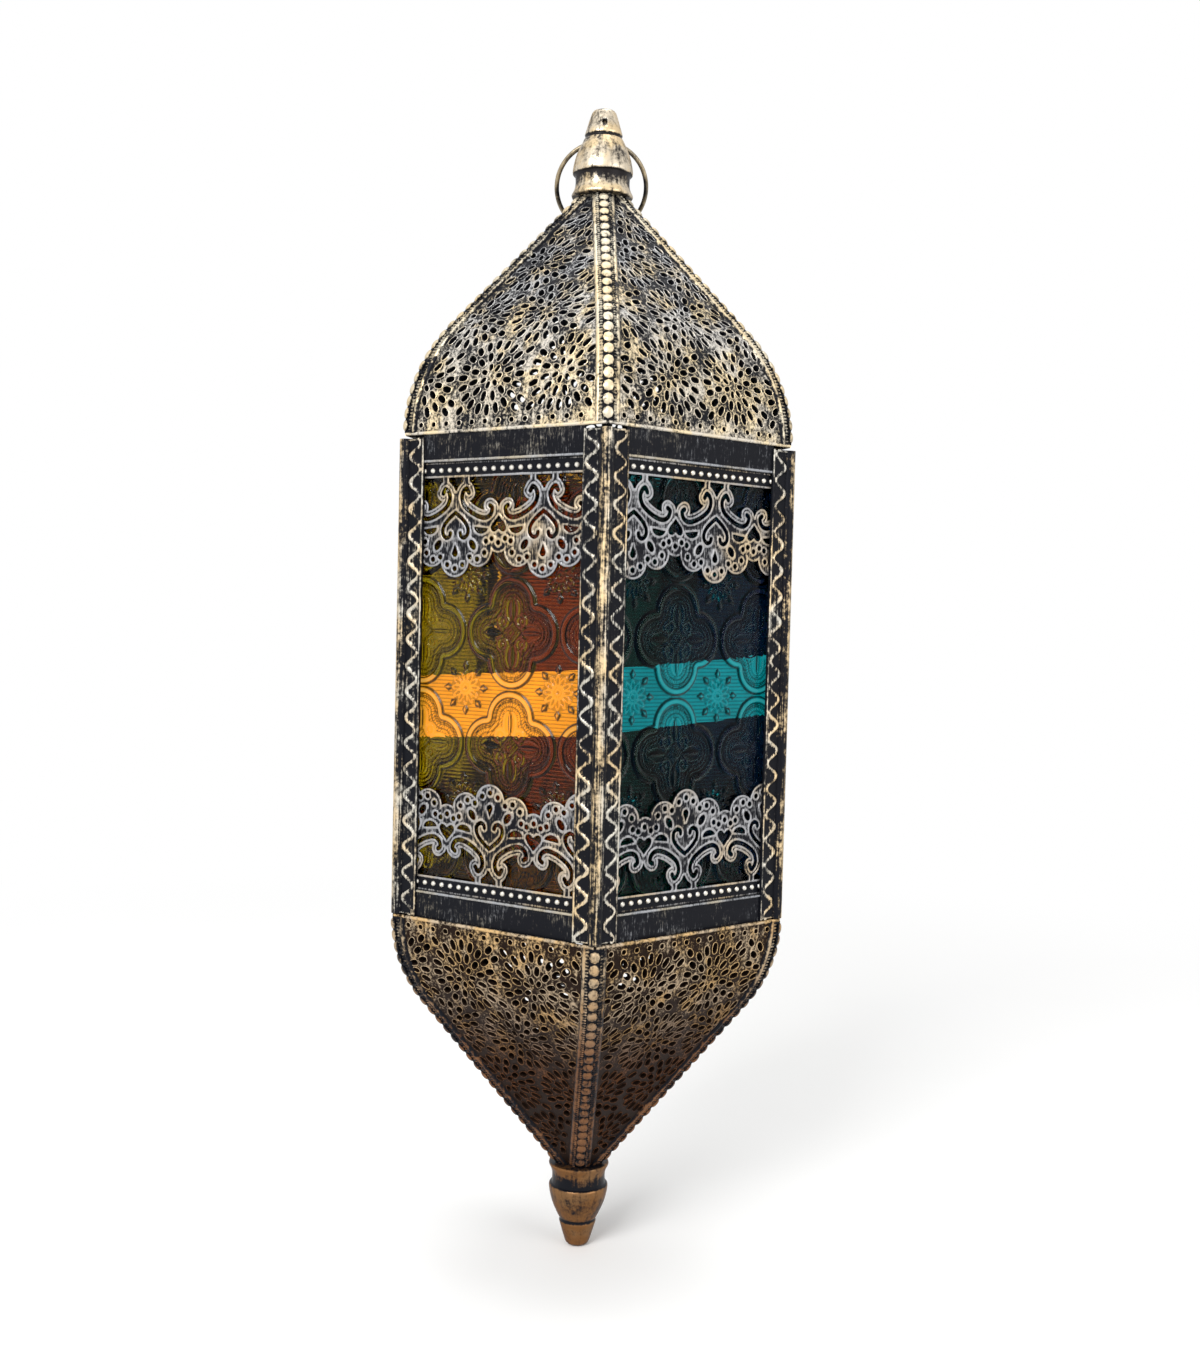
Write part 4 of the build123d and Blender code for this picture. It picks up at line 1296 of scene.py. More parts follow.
    def beads(self, half: float, level: float, angle: float) -> Surface:
        """The border's row of beads: low domes of eight segments."""
        count = int(2 * half / self.bead_pitch)
        along = (np.arange(count) - (count - 1) / 2) * self.bead_pitch
        tilt = np.radians([-8.0, 30.0, 65.0])[:, None]
        spin = (np.arange(8) * 2 * math.pi / 8)[None, :]
        u = along[:, None, None] + self.bead_radius * np.cos(tilt) * np.cos(spin)
        z = level + self.bead_radius * np.cos(tilt) * np.sin(spin) + 0.0 * u
        out = self.out - 0.1 + 0.85 * self.bead_radius * np.sin(tilt) + 0.0 * u
        quads = lattice(3, 8, wrap=True)
        offsets = np.arange(count)[:, None, None] * 24
        ends = np.stack([np.arange(7, -1, -1), np.arange(16, 24)])
        faces = [(quads[None] + offsets).reshape(-1, 4), (ends[None] + offsets).reshape(-1, 8)]
        relief = np.tile(np.repeat([0.4, 2.4, 2.8], 8), count)
        return Surface(on_face(angle, u, out, z), faces, relief)

    def build(self) -> None:
        """Makes the upper and lower strip of every face."""
        material = self.finish.material()
        for face in Face:
            half = self.door_half if face is Face.BACK else self.half
            angle = FIRST_FACE_ANGLE + face.index * STEP
            upper = self.surface(half, self.upper_phase[face], self.upper_edge, -1.0, angle)
            lower = self.surface(half, self.lower_phase[face], self.lower_edge, 1.0, angle)
            for name, surface in ((f"upper_lace_{face.label}", upper), (f"lower_lace_{face.label}", lower)):
                piece(f"stamped_{name}", surface, material, face.body, [name])


@dataclass
class PatternPanes:
    """Panes of rolled glass: four-lobed figures in a square grid, with small daisies between them, their steep flanks
    and dotted ground painted in shade and their crests painted pale as a highlight.
    """

    finishes: dict[Face, PatternGlass]
    half: float = 44.4
    door_half: float = 39.8
    foot: float = -328.6
    head: float = -132.5
    door_foot: float = -326.9
    door_head: float = -133.9
    inner: float = 63.7
    outer: float = 66.65
    pitch: float = 45.6
    lobe_radius: float = 11.7
    eye_at: float = 9.4
    eye_half: float = 4.8
    dot_pitch: float = 1.7
    dot_step: float = 1.65
    relief: float = 0.75
    fine_height: float = 0.88
    # The dotted ground and the daisies' discs take painted shade, steep flanks too, and crests and fine lines a painted
    # highlight.
    dotted_shade: float = 0.9
    daisy_reach: float = 7.3
    daisy_shade: float = 0.7
    crest_painted_highlight: float = 0.75
    fine_painted_highlight: float = 0.2
    cell: float = 0.38
    far_cell: float = 0.85
    window: tuple[float, float] = (-280.0, -181.0)
    steep_from: float = 0.15
    steep_to: float = 0.55
    crest_from: float = 0.72
    crest_to: float = 0.92
    phases: dict[Face, tuple[float, float]] = field(default_factory=lambda: {
        Face.FRONT_LEFT: (5.4, -210.4), Face.FRONT_RIGHT: (-9.2, -211.5), Face.RIGHT: (3.0, -208.0),
        Face.LEFT: (12.0, -214.0), Face.BACK: (0.0, -210.0)})

    def outline(self, near: np.ndarray, far: np.ndarray) -> np.ndarray:
        """Signed distance to a four-lobed figure, negative inside.

        The outline is four half circles on the axes. Beyond their middles the distance is to the nearest circle. Nearer
        the centre it is to the notch where two circles meet.

        Args:
            near: Larger of the two distances from the figure's axes.
            far: Smaller of the two.

        Returns:
            The distances.
        """
        offset = self.pitch / 2 - self.lobe_radius - 0.2
        notch = (offset + math.sqrt(2 * self.lobe_radius**2 - offset**2)) / 2
        circle = np.hypot(near - offset, far) - self.lobe_radius
        corner = np.hypot(near - notch, far - notch)
        inside = (near < notch) & (far < notch) & (near < offset + 0.07 * far)
        return np.where(inside, -corner, circle)

    def cross(self, near: np.ndarray, far: np.ndarray, ax: np.ndarray, ay: np.ndarray) -> tuple[np.ndarray, ...]:
        """Middle of a figure: four pointed eyes on the axes, four curls on the diagonals and a small diamond.

        Returns:
            The height of the eyes, the height of the thin lines, and how clear of them a place is.
        """
        share = np.clip(1.0 - ((near - self.eye_at) / self.eye_half) ** 2, 0.0, 1.0)
        eye = np.clip(1.0 - far / (0.05 + 1.75 * share), 0.0, 1.0) * (share > 0)
        sheath = np.abs(far - 2.7 * np.sqrt(share) - 0.35) * (share > 0) + 9.0 * (share <= 0)
        curl = np.hypot(ax - 4.6, ay - 4.6)
        swirl = np.maximum(ridge(curl - 2.25, 0.6), ridge(curl, 0.8))
        diamond = ridge(ax + ay - 1.9, 0.75)
        lines = np.maximum(np.maximum(ridge(sheath, 0.55), swirl), diamond)
        clear = smooth(3.0, 3.7, curl) * np.where(share > 0, smooth(0.2, 0.8, far - 2.7 * np.sqrt(share) - 0.6), 1.0)
        return 0.95 * eye, lines, clear

    def daisy(self, dx: np.ndarray, dy: np.ndarray) -> tuple[np.ndarray, np.ndarray]:
        """Heights of a daisy: eight pointed leaves, then the thin lines of a ring and twelve petals."""
        reach, spin = np.hypot(dx, dy), np.arctan2(dy, dx)
        petal_turn = (spin * 12 / (2 * math.pi) + 0.5) % 1.0 - 0.5
        petal = np.hypot((reach - 4.5) / 2.5, np.abs(petal_turn) * 2 * math.pi / 12 * reach / 1.05)
        leaf_turn = np.abs((spin * 8 / (2 * math.pi) + 0.5) % 1.0 - 0.5) * 2 * math.pi / 8 * reach
        leaf = np.clip(1.0 - (np.abs(reach - 9.0) / 2.3 + leaf_turn / 1.6), 0.0, 1.0)
        lines = np.maximum(ridge(petal - 0.85, 0.3), ridge(reach - 1.2, 0.5))
        return np.sqrt(leaf), np.maximum(lines, 0.2 * (petal < 0.7))

    def figure(self, x: np.ndarray, y: np.ndarray) -> tuple[np.ndarray, ...]:
        """Height of the broad forms, height of the fine ones, mask of the figures, and mask of the dotted ground and
        daisy discs that take painted shade.

        Coordinates run from the middle of a four-lobed figure. A broad half-round band follows its outline, a thin line
        runs inside the band, dots stand in rows inside the line, and a cross fills the middle. A daisy stands where
        four figures meet.
        """
        p = self.pitch
        x = (x + p / 2) % p - p / 2
        y = (y + p / 2) % p - p / 2
        ax, ay = np.abs(x), np.abs(y)
        near, far = np.maximum(ax, ay), np.minimum(ax, ay)
        lobe = self.outline(near, far)
        inside = smooth(0.15, -0.15, lobe)
        band = ridge(lobe + 1.75, 1.6)
        line = ridge(lobe + 4.2, 0.45)
        row = (-lobe - 5.6) / self.dot_pitch
        step = np.where(near > p / 4, np.arctan2(far * np.sign(x * y), near - p / 4) * 9.0, x - y)
        dots = ridge(np.hypot(row - np.round(row), (step / self.dot_step + 0.5 * np.round(row)) % 1.0 - 0.5), 0.42)
        eyes, lines, clear = self.cross(near, far, ax, ay)
        dotted = inside * smooth(4.9, 5.1, -lobe) * clear
        middle = inside * smooth(5.2, 6.0, -lobe)
        leaves, petals = self.daisy(p / 2 - ax, p / 2 - ay)
        ground = smooth(0.3, 0.8, lobe)
        broad = np.maximum(inside * np.maximum(np.maximum(0.3, band), 0.75 * line), middle * eyes)
        broad = np.maximum(broad, ground * leaves)
        fine = np.maximum(np.maximum(dotted * dots, middle * lines), ground * petals)
        disc = smooth(self.daisy_reach + 0.4, self.daisy_reach, np.hypot(p / 2 - ax, p / 2 - ay))
        # The daisy's disc joins the mask of painted shade.
        dotted = np.maximum(dotted, self.daisy_shade * ground * disc)
        mask = np.clip(inside + smooth(0.05, 0.4, ground * np.maximum(leaves, petals)), 0.0, 1.0)
        return np.clip(broad, 0.0, 1.0), fine, mask, dotted

    def surface(self, face: Face) -> Surface:
        """One pane: a grid whose outer face carries the pattern, closed by its edges and a plain back.

        The second value of a pane's points is a painted tone: up to 1 for painted shade on steep flanks and the dotted
        ground, down to -1 for a painted highlight on crests.
        """
        door = face is Face.BACK
        half = self.door_half if door else self.half
        foot, head = (self.door_foot, self.door_head) if door else (self.foot, self.head)
        low, high = self.window
        levels = np.concatenate([np.arange(foot, low, self.far_cell), np.arange(low, high, self.cell),
                                 np.arange(high, head, self.far_cell), [head]])
        rows, columns = len(levels), int(round(2 * half / self.cell)) + 1
        along, level = np.meshgrid(np.linspace(-half, half, columns), levels)
        u, z = self.phases[face]
        broad, fine, mask, dotted = self.figure(along - u, level - z)
        height = np.maximum(broad, self.fine_height * fine)
        rise, run = np.gradient(broad, levels, along[0])
        # Painted shade on steep flanks and the dotted ground, and a painted highlight on crests and fine lines, stand
        # in for the light that the relief bends.
        steep = smooth(self.steep_from, self.steep_to, np.hypot(rise, run))
        pale = np.maximum(self.crest_painted_highlight * smooth(self.crest_from, self.crest_to, broad),
                          self.fine_painted_highlight * smooth(0.3, 0.8, fine))
        shade = np.maximum(steep, self.dotted_shade * dotted) * (1.0 - 0.9 * smooth(0.2, 0.7, fine))
        tone = shade - (1.0 - shade) * pale
        angle = FIRST_FACE_ANGLE + face.index * STEP
        front = on_face(angle, along, self.outer + self.relief * (height - 1.0), level)
        index = np.arange(rows * columns).reshape(rows, columns)
        edge = np.concatenate([index[0, :-1], index[:-1, -1], index[-1, :0:-1], index[:0:-1, 0]])
        back = on_face(angle, along.ravel()[edge], np.full(len(edge), self.inner), level.ravel()[edge])
        rim = rows * columns + np.arange(len(edge))
        walls = np.stack([np.roll(edge, -1), edge, rim, np.roll(rim, -1)], axis=1)
        points = np.concatenate([front, back])
        relief = np.concatenate([mask.ravel(), np.ones(len(edge))])
        tones = np.concatenate([tone.ravel(), np.zeros(len(edge))])
        return Surface(points, [lattice(rows, columns), walls, rim[None, ::-1]], relief, tones)

    def build(self) -> None:
        """Makes the five panes."""
        for face in Face:
            name = f"glass_pane_{face.label}"
            material = self.finishes[face].material()
            piece(f"rolled_{name}", self.surface(face), material, face.body, [name], crease=80.0)


@dataclass(frozen=True)
class PaleSheet:
    """Thin white sheet with a faint cloudy grain, and a soft glow that is painted light: the sheet emits though it is
    no lamp.
    """

    name: str
    shade: Colour = (0.8, 0.79, 0.76, 1.0)
    light: Colour = (0.88, 0.88, 0.86, 1.0)
    painted_glow: float = 0.7
    rough: float = 0.6

    def material(self) -> bpy.types.Material:
        """Builds the sheet as a Blender material.

        Returns:
            The material.
        """
        material = bpy.data.materials.new(self.name)
        material.use_nodes = True
        nodes = Nodes(material.node_tree)
        shader = material.node_tree.nodes["Principled BSDF"]
        place = nodes.add("ShaderNodeTexCoord").outputs["Object"]
        colour = nodes.mix(nodes.ramp(nodes.noise(place, 160.0, 3.0, 0.5), 0.3, 0.7), self.shade, self.light)
        material.node_tree.links.new(colour, shader.inputs["Base Color"])
        # Painted light: the sheet emits its own colour.
        material.node_tree.links.new(colour, shader.inputs["Emission Color"])
        shader.inputs["Emission Strength"].default_value = self.painted_glow
        shader.inputs["Roughness"].default_value = self.rough
        return material


@dataclass
class PaleStrips:
    """Strips of thin white sheet behind the two front panes, which show through them as a bright band, lit partly by
    their painted glow.
    """

    finish: PaleSheet
    half: float = 43.4
    outer: float = 63.5
    thickness: float = 0.3
    slope: float = 0.065
    wave: float = 0.12
    waves: float = 5.0
    stations: int = 60
    spans: dict[Face, tuple[float, float]] = field(default_factory=lambda: {
        Face.FRONT_LEFT: (-252.2, -226.5), Face.FRONT_RIGHT: (-245.6, -220.6)})

    def surface(self, face: Face) -> Surface:
        """One strip: a flat section carried along the face, slightly aslant and wavy, and closed at both ends."""
        low, high = self.spans[face]
        along = np.linspace(-self.half, self.half, self.stations)[:, None]
        ripple = self.slope * along + self.wave * np.sin(along / self.half * self.waves * math.pi)
        level = np.array([high, low, low, high])[None, :] + ripple
        out = self.outer - self.thickness * np.array([0.0, 0.0, 1.0, 1.0])[None, :] + 0.0 * along
        angle = FIRST_FACE_ANGLE + face.index * STEP
        index = np.arange(level.size).reshape(level.shape)
        ends = np.stack([index[0, ::-1], index[-1]])
        points = on_face(angle, along, out, level)
        return Surface(points, [lattice(*level.shape, wrap=True), ends], np.zeros(level.size))

    def build(self) -> None:
        """Makes the two strips."""
        material = self.finish.material()
        for face in self.spans:
            piece(f"pale_strip_{face.label}", self.surface(face), material, BODY, [])


def revolve(profile: np.ndarray, relief: np.ndarray, warmth: float, segments: int) -> Surface:
    """Surface of a closed profile turned about the axis.

    Args:
        profile: Radii and levels, in two columns, round the section.
        relief: Relief at each point of the profile.
        warmth: Warmth of the whole piece.
        segments: Number of steps round the axis.

    Returns:
        The turned surface.
    """
    turn = np.arange(segments) * 2 * math.pi / segments
    x = profile[None, :, 0] * np.cos(turn)[:, None]
    y = profile[None, :, 0] * np.sin(turn)[:, None]
    z = np.broadcast_to(profile[None, :, 1], x.shape)
    index = np.arange(segments * len(profile)).reshape(segments, len(profile))
    grid = np.concatenate([index, index[:1]])
    quads = np.stack([grid[:-1, :-1], grid[1:, :-1], grid[1:, 1:], grid[:-1, 1:]], axis=-1).reshape(-1, 4)
    caps = [index[:, 0][None, ::-1], index[:, -1][None, :]]
    points = np.stack([x, y, z], axis=-1).reshape(-1, 3)
    shade = np.tile(relief, segments)
    return Surface(points, [quads, *caps], shade, np.full(len(points), warmth))


@dataclass
class Finials:
    """Spun caps at the top and the bottom: a flared foot, a dark waist, a bell, a groove and a blunt tip."""

    top_finish: AgedMetal
    bottom_finish: AgedMetal
    top_seat: float = -22.4
    bottom_seat: float = -444.6
    eye_radius: float = 2.4
    pin_radius: float = 1.2
    pin_level: float = 8.4
    segments: int = 72

    @staticmethod
    def profile() -> tuple[np.ndarray, np.ndarray]:
        """Radius, height over the seat and relief round the section, from inside the foot to the tip."""
        rows = np.array([
            (6.6, 20.0, 0.0), (6.6, 0.0, 0.0), (12.4, 0.0, 0.2), (13.1, 0.25, 0.7), (13.3, 0.9, 1.0), (13.1, 1.5, 1.0),
            (12.5, 2.6, 0.95), (12.0, 3.9, 0.7), (11.75, 5.2, 0.35), (11.7, 6.6, 0.2), (11.75, 8.2, 0.0),
            (12.0, 9.6, -1.0), (12.7, 9.9, 0.0), (13.0, 10.3, 0.9), (13.05, 10.9, 1.0), (12.95, 12.2, 1.0),
            (12.7, 13.8, 0.9), (12.25, 15.8, 0.85), (11.6, 18.0, 0.8), (10.7, 20.3, 0.8), (9.7, 22.4, 0.75),
            (8.85, 24.1, 0.7), (8.45, 24.9, 0.5), (7.95, 25.3, -0.5), (7.85, 25.9, -0.6), (8.05, 26.5, 0.2),
            (8.2, 26.9, 0.95), (7.9, 27.9, 0.95), (7.2, 30.2, 0.85), (6.4, 32.9, 0.85), (5.6, 35.3, 0.9),
            (5.25, 36.2, 1.0), (4.6, 37.0, 1.0), (3.4, 37.45, 0.95), (1.6, 37.5, 0.9),
        ])
        return rows[:, :2], rows[:, 2]

    def surface(self, seat: float, upward: bool) -> Surface:
        """One finial on its seat."""
        profile, relief = self.profile()
        sign = 1.0 if upward else -1.0
        placed = np.stack([profile[:, 0], seat + sign * profile[:, 1]], axis=1)
        surface = revolve(placed, relief, 0.45, self.segments)
        return surface if upward else surface.flipped()

    @staticmethod
    def bar(radius: float, first: np.ndarray, last: np.ndarray) -> Surface:
        """A round bar between two points, level and square to Z, as a closed tube."""
        t = (np.arange(20) * 2 * math.pi / 20)[:, None]
        axis = (last - first) / np.linalg.norm(last - first)
        side = np.cross(np.array([0.0, 0.0, 1.0]), axis)
        ring = radius * (np.cos(t) * side + np.sin(t) * np.array([0.0, 0.0, 1.0]))
        ends = [np.arange(20)[None, ::-1], 20 + np.arange(20)[None, :]]
        # The bar's darkest relief passes to the walls that it cuts: painted shade inside the eye and the pin hole.
        return Surface(np.concatenate([first + ring, last + ring]), [lattice(2, 20, wrap=True), *ends], np.full(40, -3.0))

    def pierce(self, obj: bpy.types.Object) -> None:
        """Bores the eye for the hanging ring along X, and a small pin hole in the front of the tip."""
        eye = self.bar(self.eye_radius, np.array([-16.0, 0.0, 0.0]), np.array([16.0, 0.0, 0.0]))
        pin = self.bar(self.pin_radius, np.array([0.0, -12.0, self.pin_level]), np.array([0.0, -3.0, self.pin_level]))
        cutter = bpy.data.objects.new("eye_cutter", Surface.joined([eye, pin]).mesh("eye_cutter", 40.0))
        bpy.context.scene.collection.objects.link(cutter)
        cut = obj.modifiers.new("eye", "BOOLEAN")
        cut.operation, cut.solver, cut.object = "DIFFERENCE", "EXACT", cutter
        shaped = bpy.data.meshes.new_from_object(obj.evaluated_get(bpy.context.evaluated_depsgraph_get()))
        obj.modifiers.clear()
        obj.data = shaped
        bpy.data.objects.remove(cutter)

    def build(self) -> None:
        """Makes both finials."""
        top = piece("spun_top_finial", self.surface(self.top_seat, True), self.top_finish.material(), BODY,
                    ["top_finial"], crease=45.0)
        self.pierce(top)
        piece("spun_bottom_finial", self.surface(self.bottom_seat, False), self.bottom_finish.material(), BODY,
              ["bottom_finial"], crease=45.0)


@dataclass
class HangingRing:
    """The wire ring that swings in the top finial, lying back behind it."""

    finish: AgedMetal
    radius: float = 19.6
    wire: float = 1.0
    eye_wall: float = 8.4
    rest_tilt: float = 32.0

    def surface(self) -> Surface:
        """A torus: a small circle carried round a large one, in the ring's leaning plane."""
        drop = math.sqrt(self.radius**2 - self.eye_wall**2)
        tilt = math.radians(self.rest_tilt)
        down = np.array([0.0, math.sin(tilt), -math.cos(tilt)])
        normal = np.array([0.0, math.cos(tilt), math.sin(tilt)])
        side = np.array([1.0, 0.0, 0.0])
        round_ring = (np.arange(96) * 2 * math.pi / 96)[:, None, None]
        round_wire = (np.arange(14) * 2 * math.pi / 14)[None, :, None]
        spoke = np.cos(round_ring) * side + np.sin(round_ring) * down
        points = drop * down + spoke * (self.radius + self.wire * np.cos(round_wire))
        points = points + self.wire * np.sin(round_wire) * normal
        index = np.arange(96 * 14).reshape(96, 14)
        grid = np.concatenate([index, index[:1]])
        grid = np.concatenate([grid, grid[:, :1]], axis=1)
        quads = np.stack([grid[:-1, :-1], grid[1:, :-1], grid[1:, 1:], grid[:-1, 1:]], axis=-1).reshape(-1, 4)
        relief = np.broadcast_to(0.5 + 0.5 * np.cos(round_wire[..., 0]), (96, 14)).ravel().copy()
        return Surface(points.reshape(-1, 3), [quads], relief, np.full(96 * 14, 0.5))

    def build(self) -> None:
        """Makes the ring."""
        piece("wire_hanging_ring", self.surface(), self.finish.material(), RING, ["hanging_ring"])


@dataclass
class CandleCup:
    """The round tin cup for a candle, with a rolled lip."""

    finish: AgedMetal
    foot: float = -322.6
    height: float = 14.0
    radius: float = 20.4
    wall: float = 0.8
    segments: int = 72

    def build(self) -> None:
        """Makes the cup from its section: inside, lip and outside."""
        top = self.foot + self.height
        inside = self.radius - self.wall
        profile = np.array([
            (0.4, self.foot + self.wall), (inside - 1.5, self.foot + self.wall), (inside, self.foot + self.wall + 1.5),
            (inside, top - 1.0), (inside + 0.2, top - 0.3), (self.radius - 0.2, top), (self.radius + 0.3, top - 0.3),
            (self.radius + 0.3, top - 1.0), (self.radius, top - 1.4), (self.radius, self.foot + 1.2),
            (self.radius - 1.0, self.foot), (0.4, self.foot),
        ])[::-1]
        relief = np.array([0.2, 0.2, 0.1, 0.2, 0.6, 1.0, 1.0, 0.6, 0.2, 0.2, 0.1, 0.0])[::-1]
        surface = revolve(profile, relief, 0.2, self.segments)
        piece("spun_candle_cup", surface, self.finish.material(), BODY, ["candle_cup"])


@dataclass
class DoorTrim:
    """A half-round bead round the window of the door's frame."""

    finish: AgedMetal
    half: float = 36.4
    low: float = -317.9
    high: float = -142.1
    out: float = 69.1
    radius: float = 0.7

    def build(self) -> None:
        """Makes the bead: a half circle carried round a rectangle with mitred corners."""
        t = np.radians(np.linspace(-20.0, 200.0, 9))[None, :]
        corner = np.array([(-1, -1), (1, -1), (1, 1), (-1, 1)], dtype=float)
        spread = self.radius * np.cos(t)
        u = corner[:, :1] * (self.half + spread)
        middle, reach = (self.low + self.high) / 2, (self.high - self.low) / 2
        z = middle + corner[:, 1:] * (reach + spread)
        out = self.out + self.radius * np.sin(t) + 0.0 * u
        angle = FIRST_FACE_ANGLE + Face.BACK.index * STEP
        steps = 24
        share = (np.arange(steps) / steps)[None, :, None]
        u = (u[:, None] * (1 - share) + np.roll(u, -1, axis=0)[:, None] * share).reshape(-1, 9)
        z = (z[:, None] * (1 - share) + np.roll(z, -1, axis=0)[:, None] * share).reshape(-1, 9)
        out = (out[:, None] + 0.0 * share).reshape(-1, 9)
        index = np.arange(u.size).reshape(u.shape)
        grid = np.concatenate([index, index[:1]])
        quads = np.stack([grid[:-1, :-1], grid[:-1, 1:], grid[1:, 1:], grid[1:, :-1]], axis=-1).reshape(-1, 4)
        back = np.stack([grid[:-1, -1], grid[:-1, 0], grid[1:, 0], grid[1:, -1]], axis=-1)
        relief = np.broadcast_to(np.clip(np.sin(t), 0, 1), u.shape).ravel().copy()
        surface = Surface(on_face(angle, u, out, z), [quads, back], relief).flipped()
        piece("door_window_bead", surface, self.finish.material(), DOOR, [])


@dataclass
class Studio:
    """Camera, lamps, world and floor."""

    floor_level: float = -0.4823
    floor_fade: tuple[float, float] = (0.25, 1.0)
    camera_place: tuple[float, float, float] = (-0.03145, -0.64266, -0.2049)
    right: tuple[float, float, float] = (0.99822, -0.05436, 0.02468)
    forward: tuple[float, float, float] = (0.05541, 0.99749, -0.04406)
    up: tuple[float, float, float] = (-0.02222, 0.04535, 0.99872)
    lens: float = 38.485
    sensor: float = 36.0

    def camera(self) -> None:
        """Places the camera at the photograph's viewing angle."""
        data = bpy.data.cameras.new("photograph_camera")
        data.sensor_fit = "VERTICAL"
        data.sensor_height = self.sensor
        data.lens = self.lens
        data.clip_start = 0.01
        obj = bpy.data.objects.new("photograph_camera", data)
        bpy.context.scene.collection.objects.link(obj)
        turn = Matrix((self.right, self.up, tuple(-c for c in self.forward))).transposed().to_4x4()
        obj.matrix_world = Matrix.Translation(self.camera_place) @ turn
        bpy.context.scene.camera = obj

    def lamp(self, name: str, place: tuple[float, float, float], size: float, power: float) -> None:
        """Adds a square soft lamp that faces the lantern's middle."""
        data = bpy.data.lights.new(name, "AREA")
        data.size, data.energy = size, power
        obj = bpy.data.objects.new(name, data)
        bpy.context.scene.collection.objects.link(obj)
        aim = Vector((0.0, 0.0, -0.23)) - Vector(place)
        obj.matrix_world = Matrix.Translation(place) @ aim.to_track_quat("-Z", "Y").to_matrix().to_4x4()

    def white_for_seen_rays(self, nodes: Nodes, plain: float) -> bpy.types.NodeSocket:
        """Strength of 1 for rays that see the background, and a plain strength for the light it gives."""
        path = nodes.add("ShaderNodeLightPath").outputs
        seen = nodes.math("ADD", path["Is Camera Ray"], path["Is Glossy Ray"])
        seen = nodes.math("ADD", seen, path["Is Transmission Ray"], clamp=True)
        return nodes.math("MULTIPLY_ADD", seen, 1.0 - plain, plain)

    def world(self) -> None:
        """A white surround that lights the lantern softly."""
        world = bpy.data.worlds.new("studio")
        world.use_nodes = True
        bpy.context.scene.world = world
        nodes = Nodes(world.node_tree)
        background = world.node_tree.nodes["Background"]
        background.inputs["Color"].default_value = (1.0, 1.0, 1.0, 1.0)
        world.node_tree.links.new(self.white_for_seen_rays(nodes, 0.6), background.inputs["Strength"])

    def floor(self) -> None:
        """A wide pale floor under the bottom tip."""
        corners = np.array([(-4, -4), (4, -4), (4, 4), (-4, 4)], dtype=float) * 1000.0
        points = np.concatenate([corners, np.full((4, 1), self.floor_level * 1000.0)], axis=1)
        floor = bpy.data.objects.new("floor", Surface(points, [np.arange(4)[None]], np.zeros(4)).mesh("floor", 30.0))
        bpy.context.scene.collection.objects.link(floor)
        material = bpy.data.materials.new("pale_floor")
        material.use_nodes = True
        nodes = Nodes(material.node_tree)
        shader = material.node_tree.nodes["Principled BSDF"]
        place = nodes.add("ShaderNodeTexCoord").outputs["Object"]
        shade = nodes.ramp(nodes.noise(place, 3.0, 3.0, 0.5), 0.2, 0.8)
        colour = nodes.mix(shade, (0.86, 0.86, 0.85, 1.0), (0.89, 0.89, 0.885, 1.0))
        links = material.node_tree.links
        links.new(colour, shader.inputs["Base Color"])
        shader.inputs["Roughness"].default_value = 0.7
        level = nodes.add("ShaderNodeVectorMath", {0: place, 1: (1.0, 1.0, 0.0)}, operation="MULTIPLY").outputs[0]
        reach = nodes.add("ShaderNodeVectorMath", {0: level}, operation="LENGTH").outputs["Value"]
        far = nodes.ramp(reach, self.floor_fade[0], self.floor_fade[1])
        white = nodes.add("ShaderNodeEmission", {"Color": (1.0, 1.0, 1.0, 1.0)})
        links.new(self.white_for_seen_rays(nodes, 0.6), white.inputs["Strength"])
        blend = nodes.add("ShaderNodeMixShader", {0: far, 1: shader.outputs[0], 2: white.outputs[0]})
        links.new(blend.outputs[0], material.node_tree.nodes["Material Output"].inputs["Surface"])
        floor.data.materials.append(material)

    def build(self) -> None:
        """Sets the whole studio up."""
        bpy.context.scene.view_settings.view_transform = "Standard"
        self.camera()
        self.world()
        self.floor()
        self.lamp("key", (-0.75, -1.25, 0.65), 0.8, 26.0)
        self.lamp("fill", (1.1, -1.0, 0.1), 1.0, 8.0)
        self.lamp("top", (0.1, 0.2, 1.5), 1.2, 14.0)


def dress_plain_solids(finish: AgedMetal, tin: AgedMetal, hardware: AgedMetal) -> None:
    """Gives the solids that keep their own shape a better finish.

    Args:
        finish: Finish of the bands and the door's frame.
        tin: Finish of the candle plate.
        hardware: Finish of the hinges and the latch.
    """
    chosen = {name: finish for name in ("upper_band", "lower_band", "door_frame")}
    chosen["candle_plate"] = tin
    for name in ("hinge_leaves", "hinge_pins", "latch_hook", "latch_rivet", "catch_pin"):
        chosen[name] = hardware
    made: dict[str, bpy.types.Material] = {}
    for name, wanted in chosen.items():
        if wanted.name not in made:
            made[wanted.name] = wanted.material()
        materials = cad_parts[name].data.materials
        materials.clear()
        materials.append(made[wanted.name])
        log.info("%s dressed in %s", name, wanted.name)


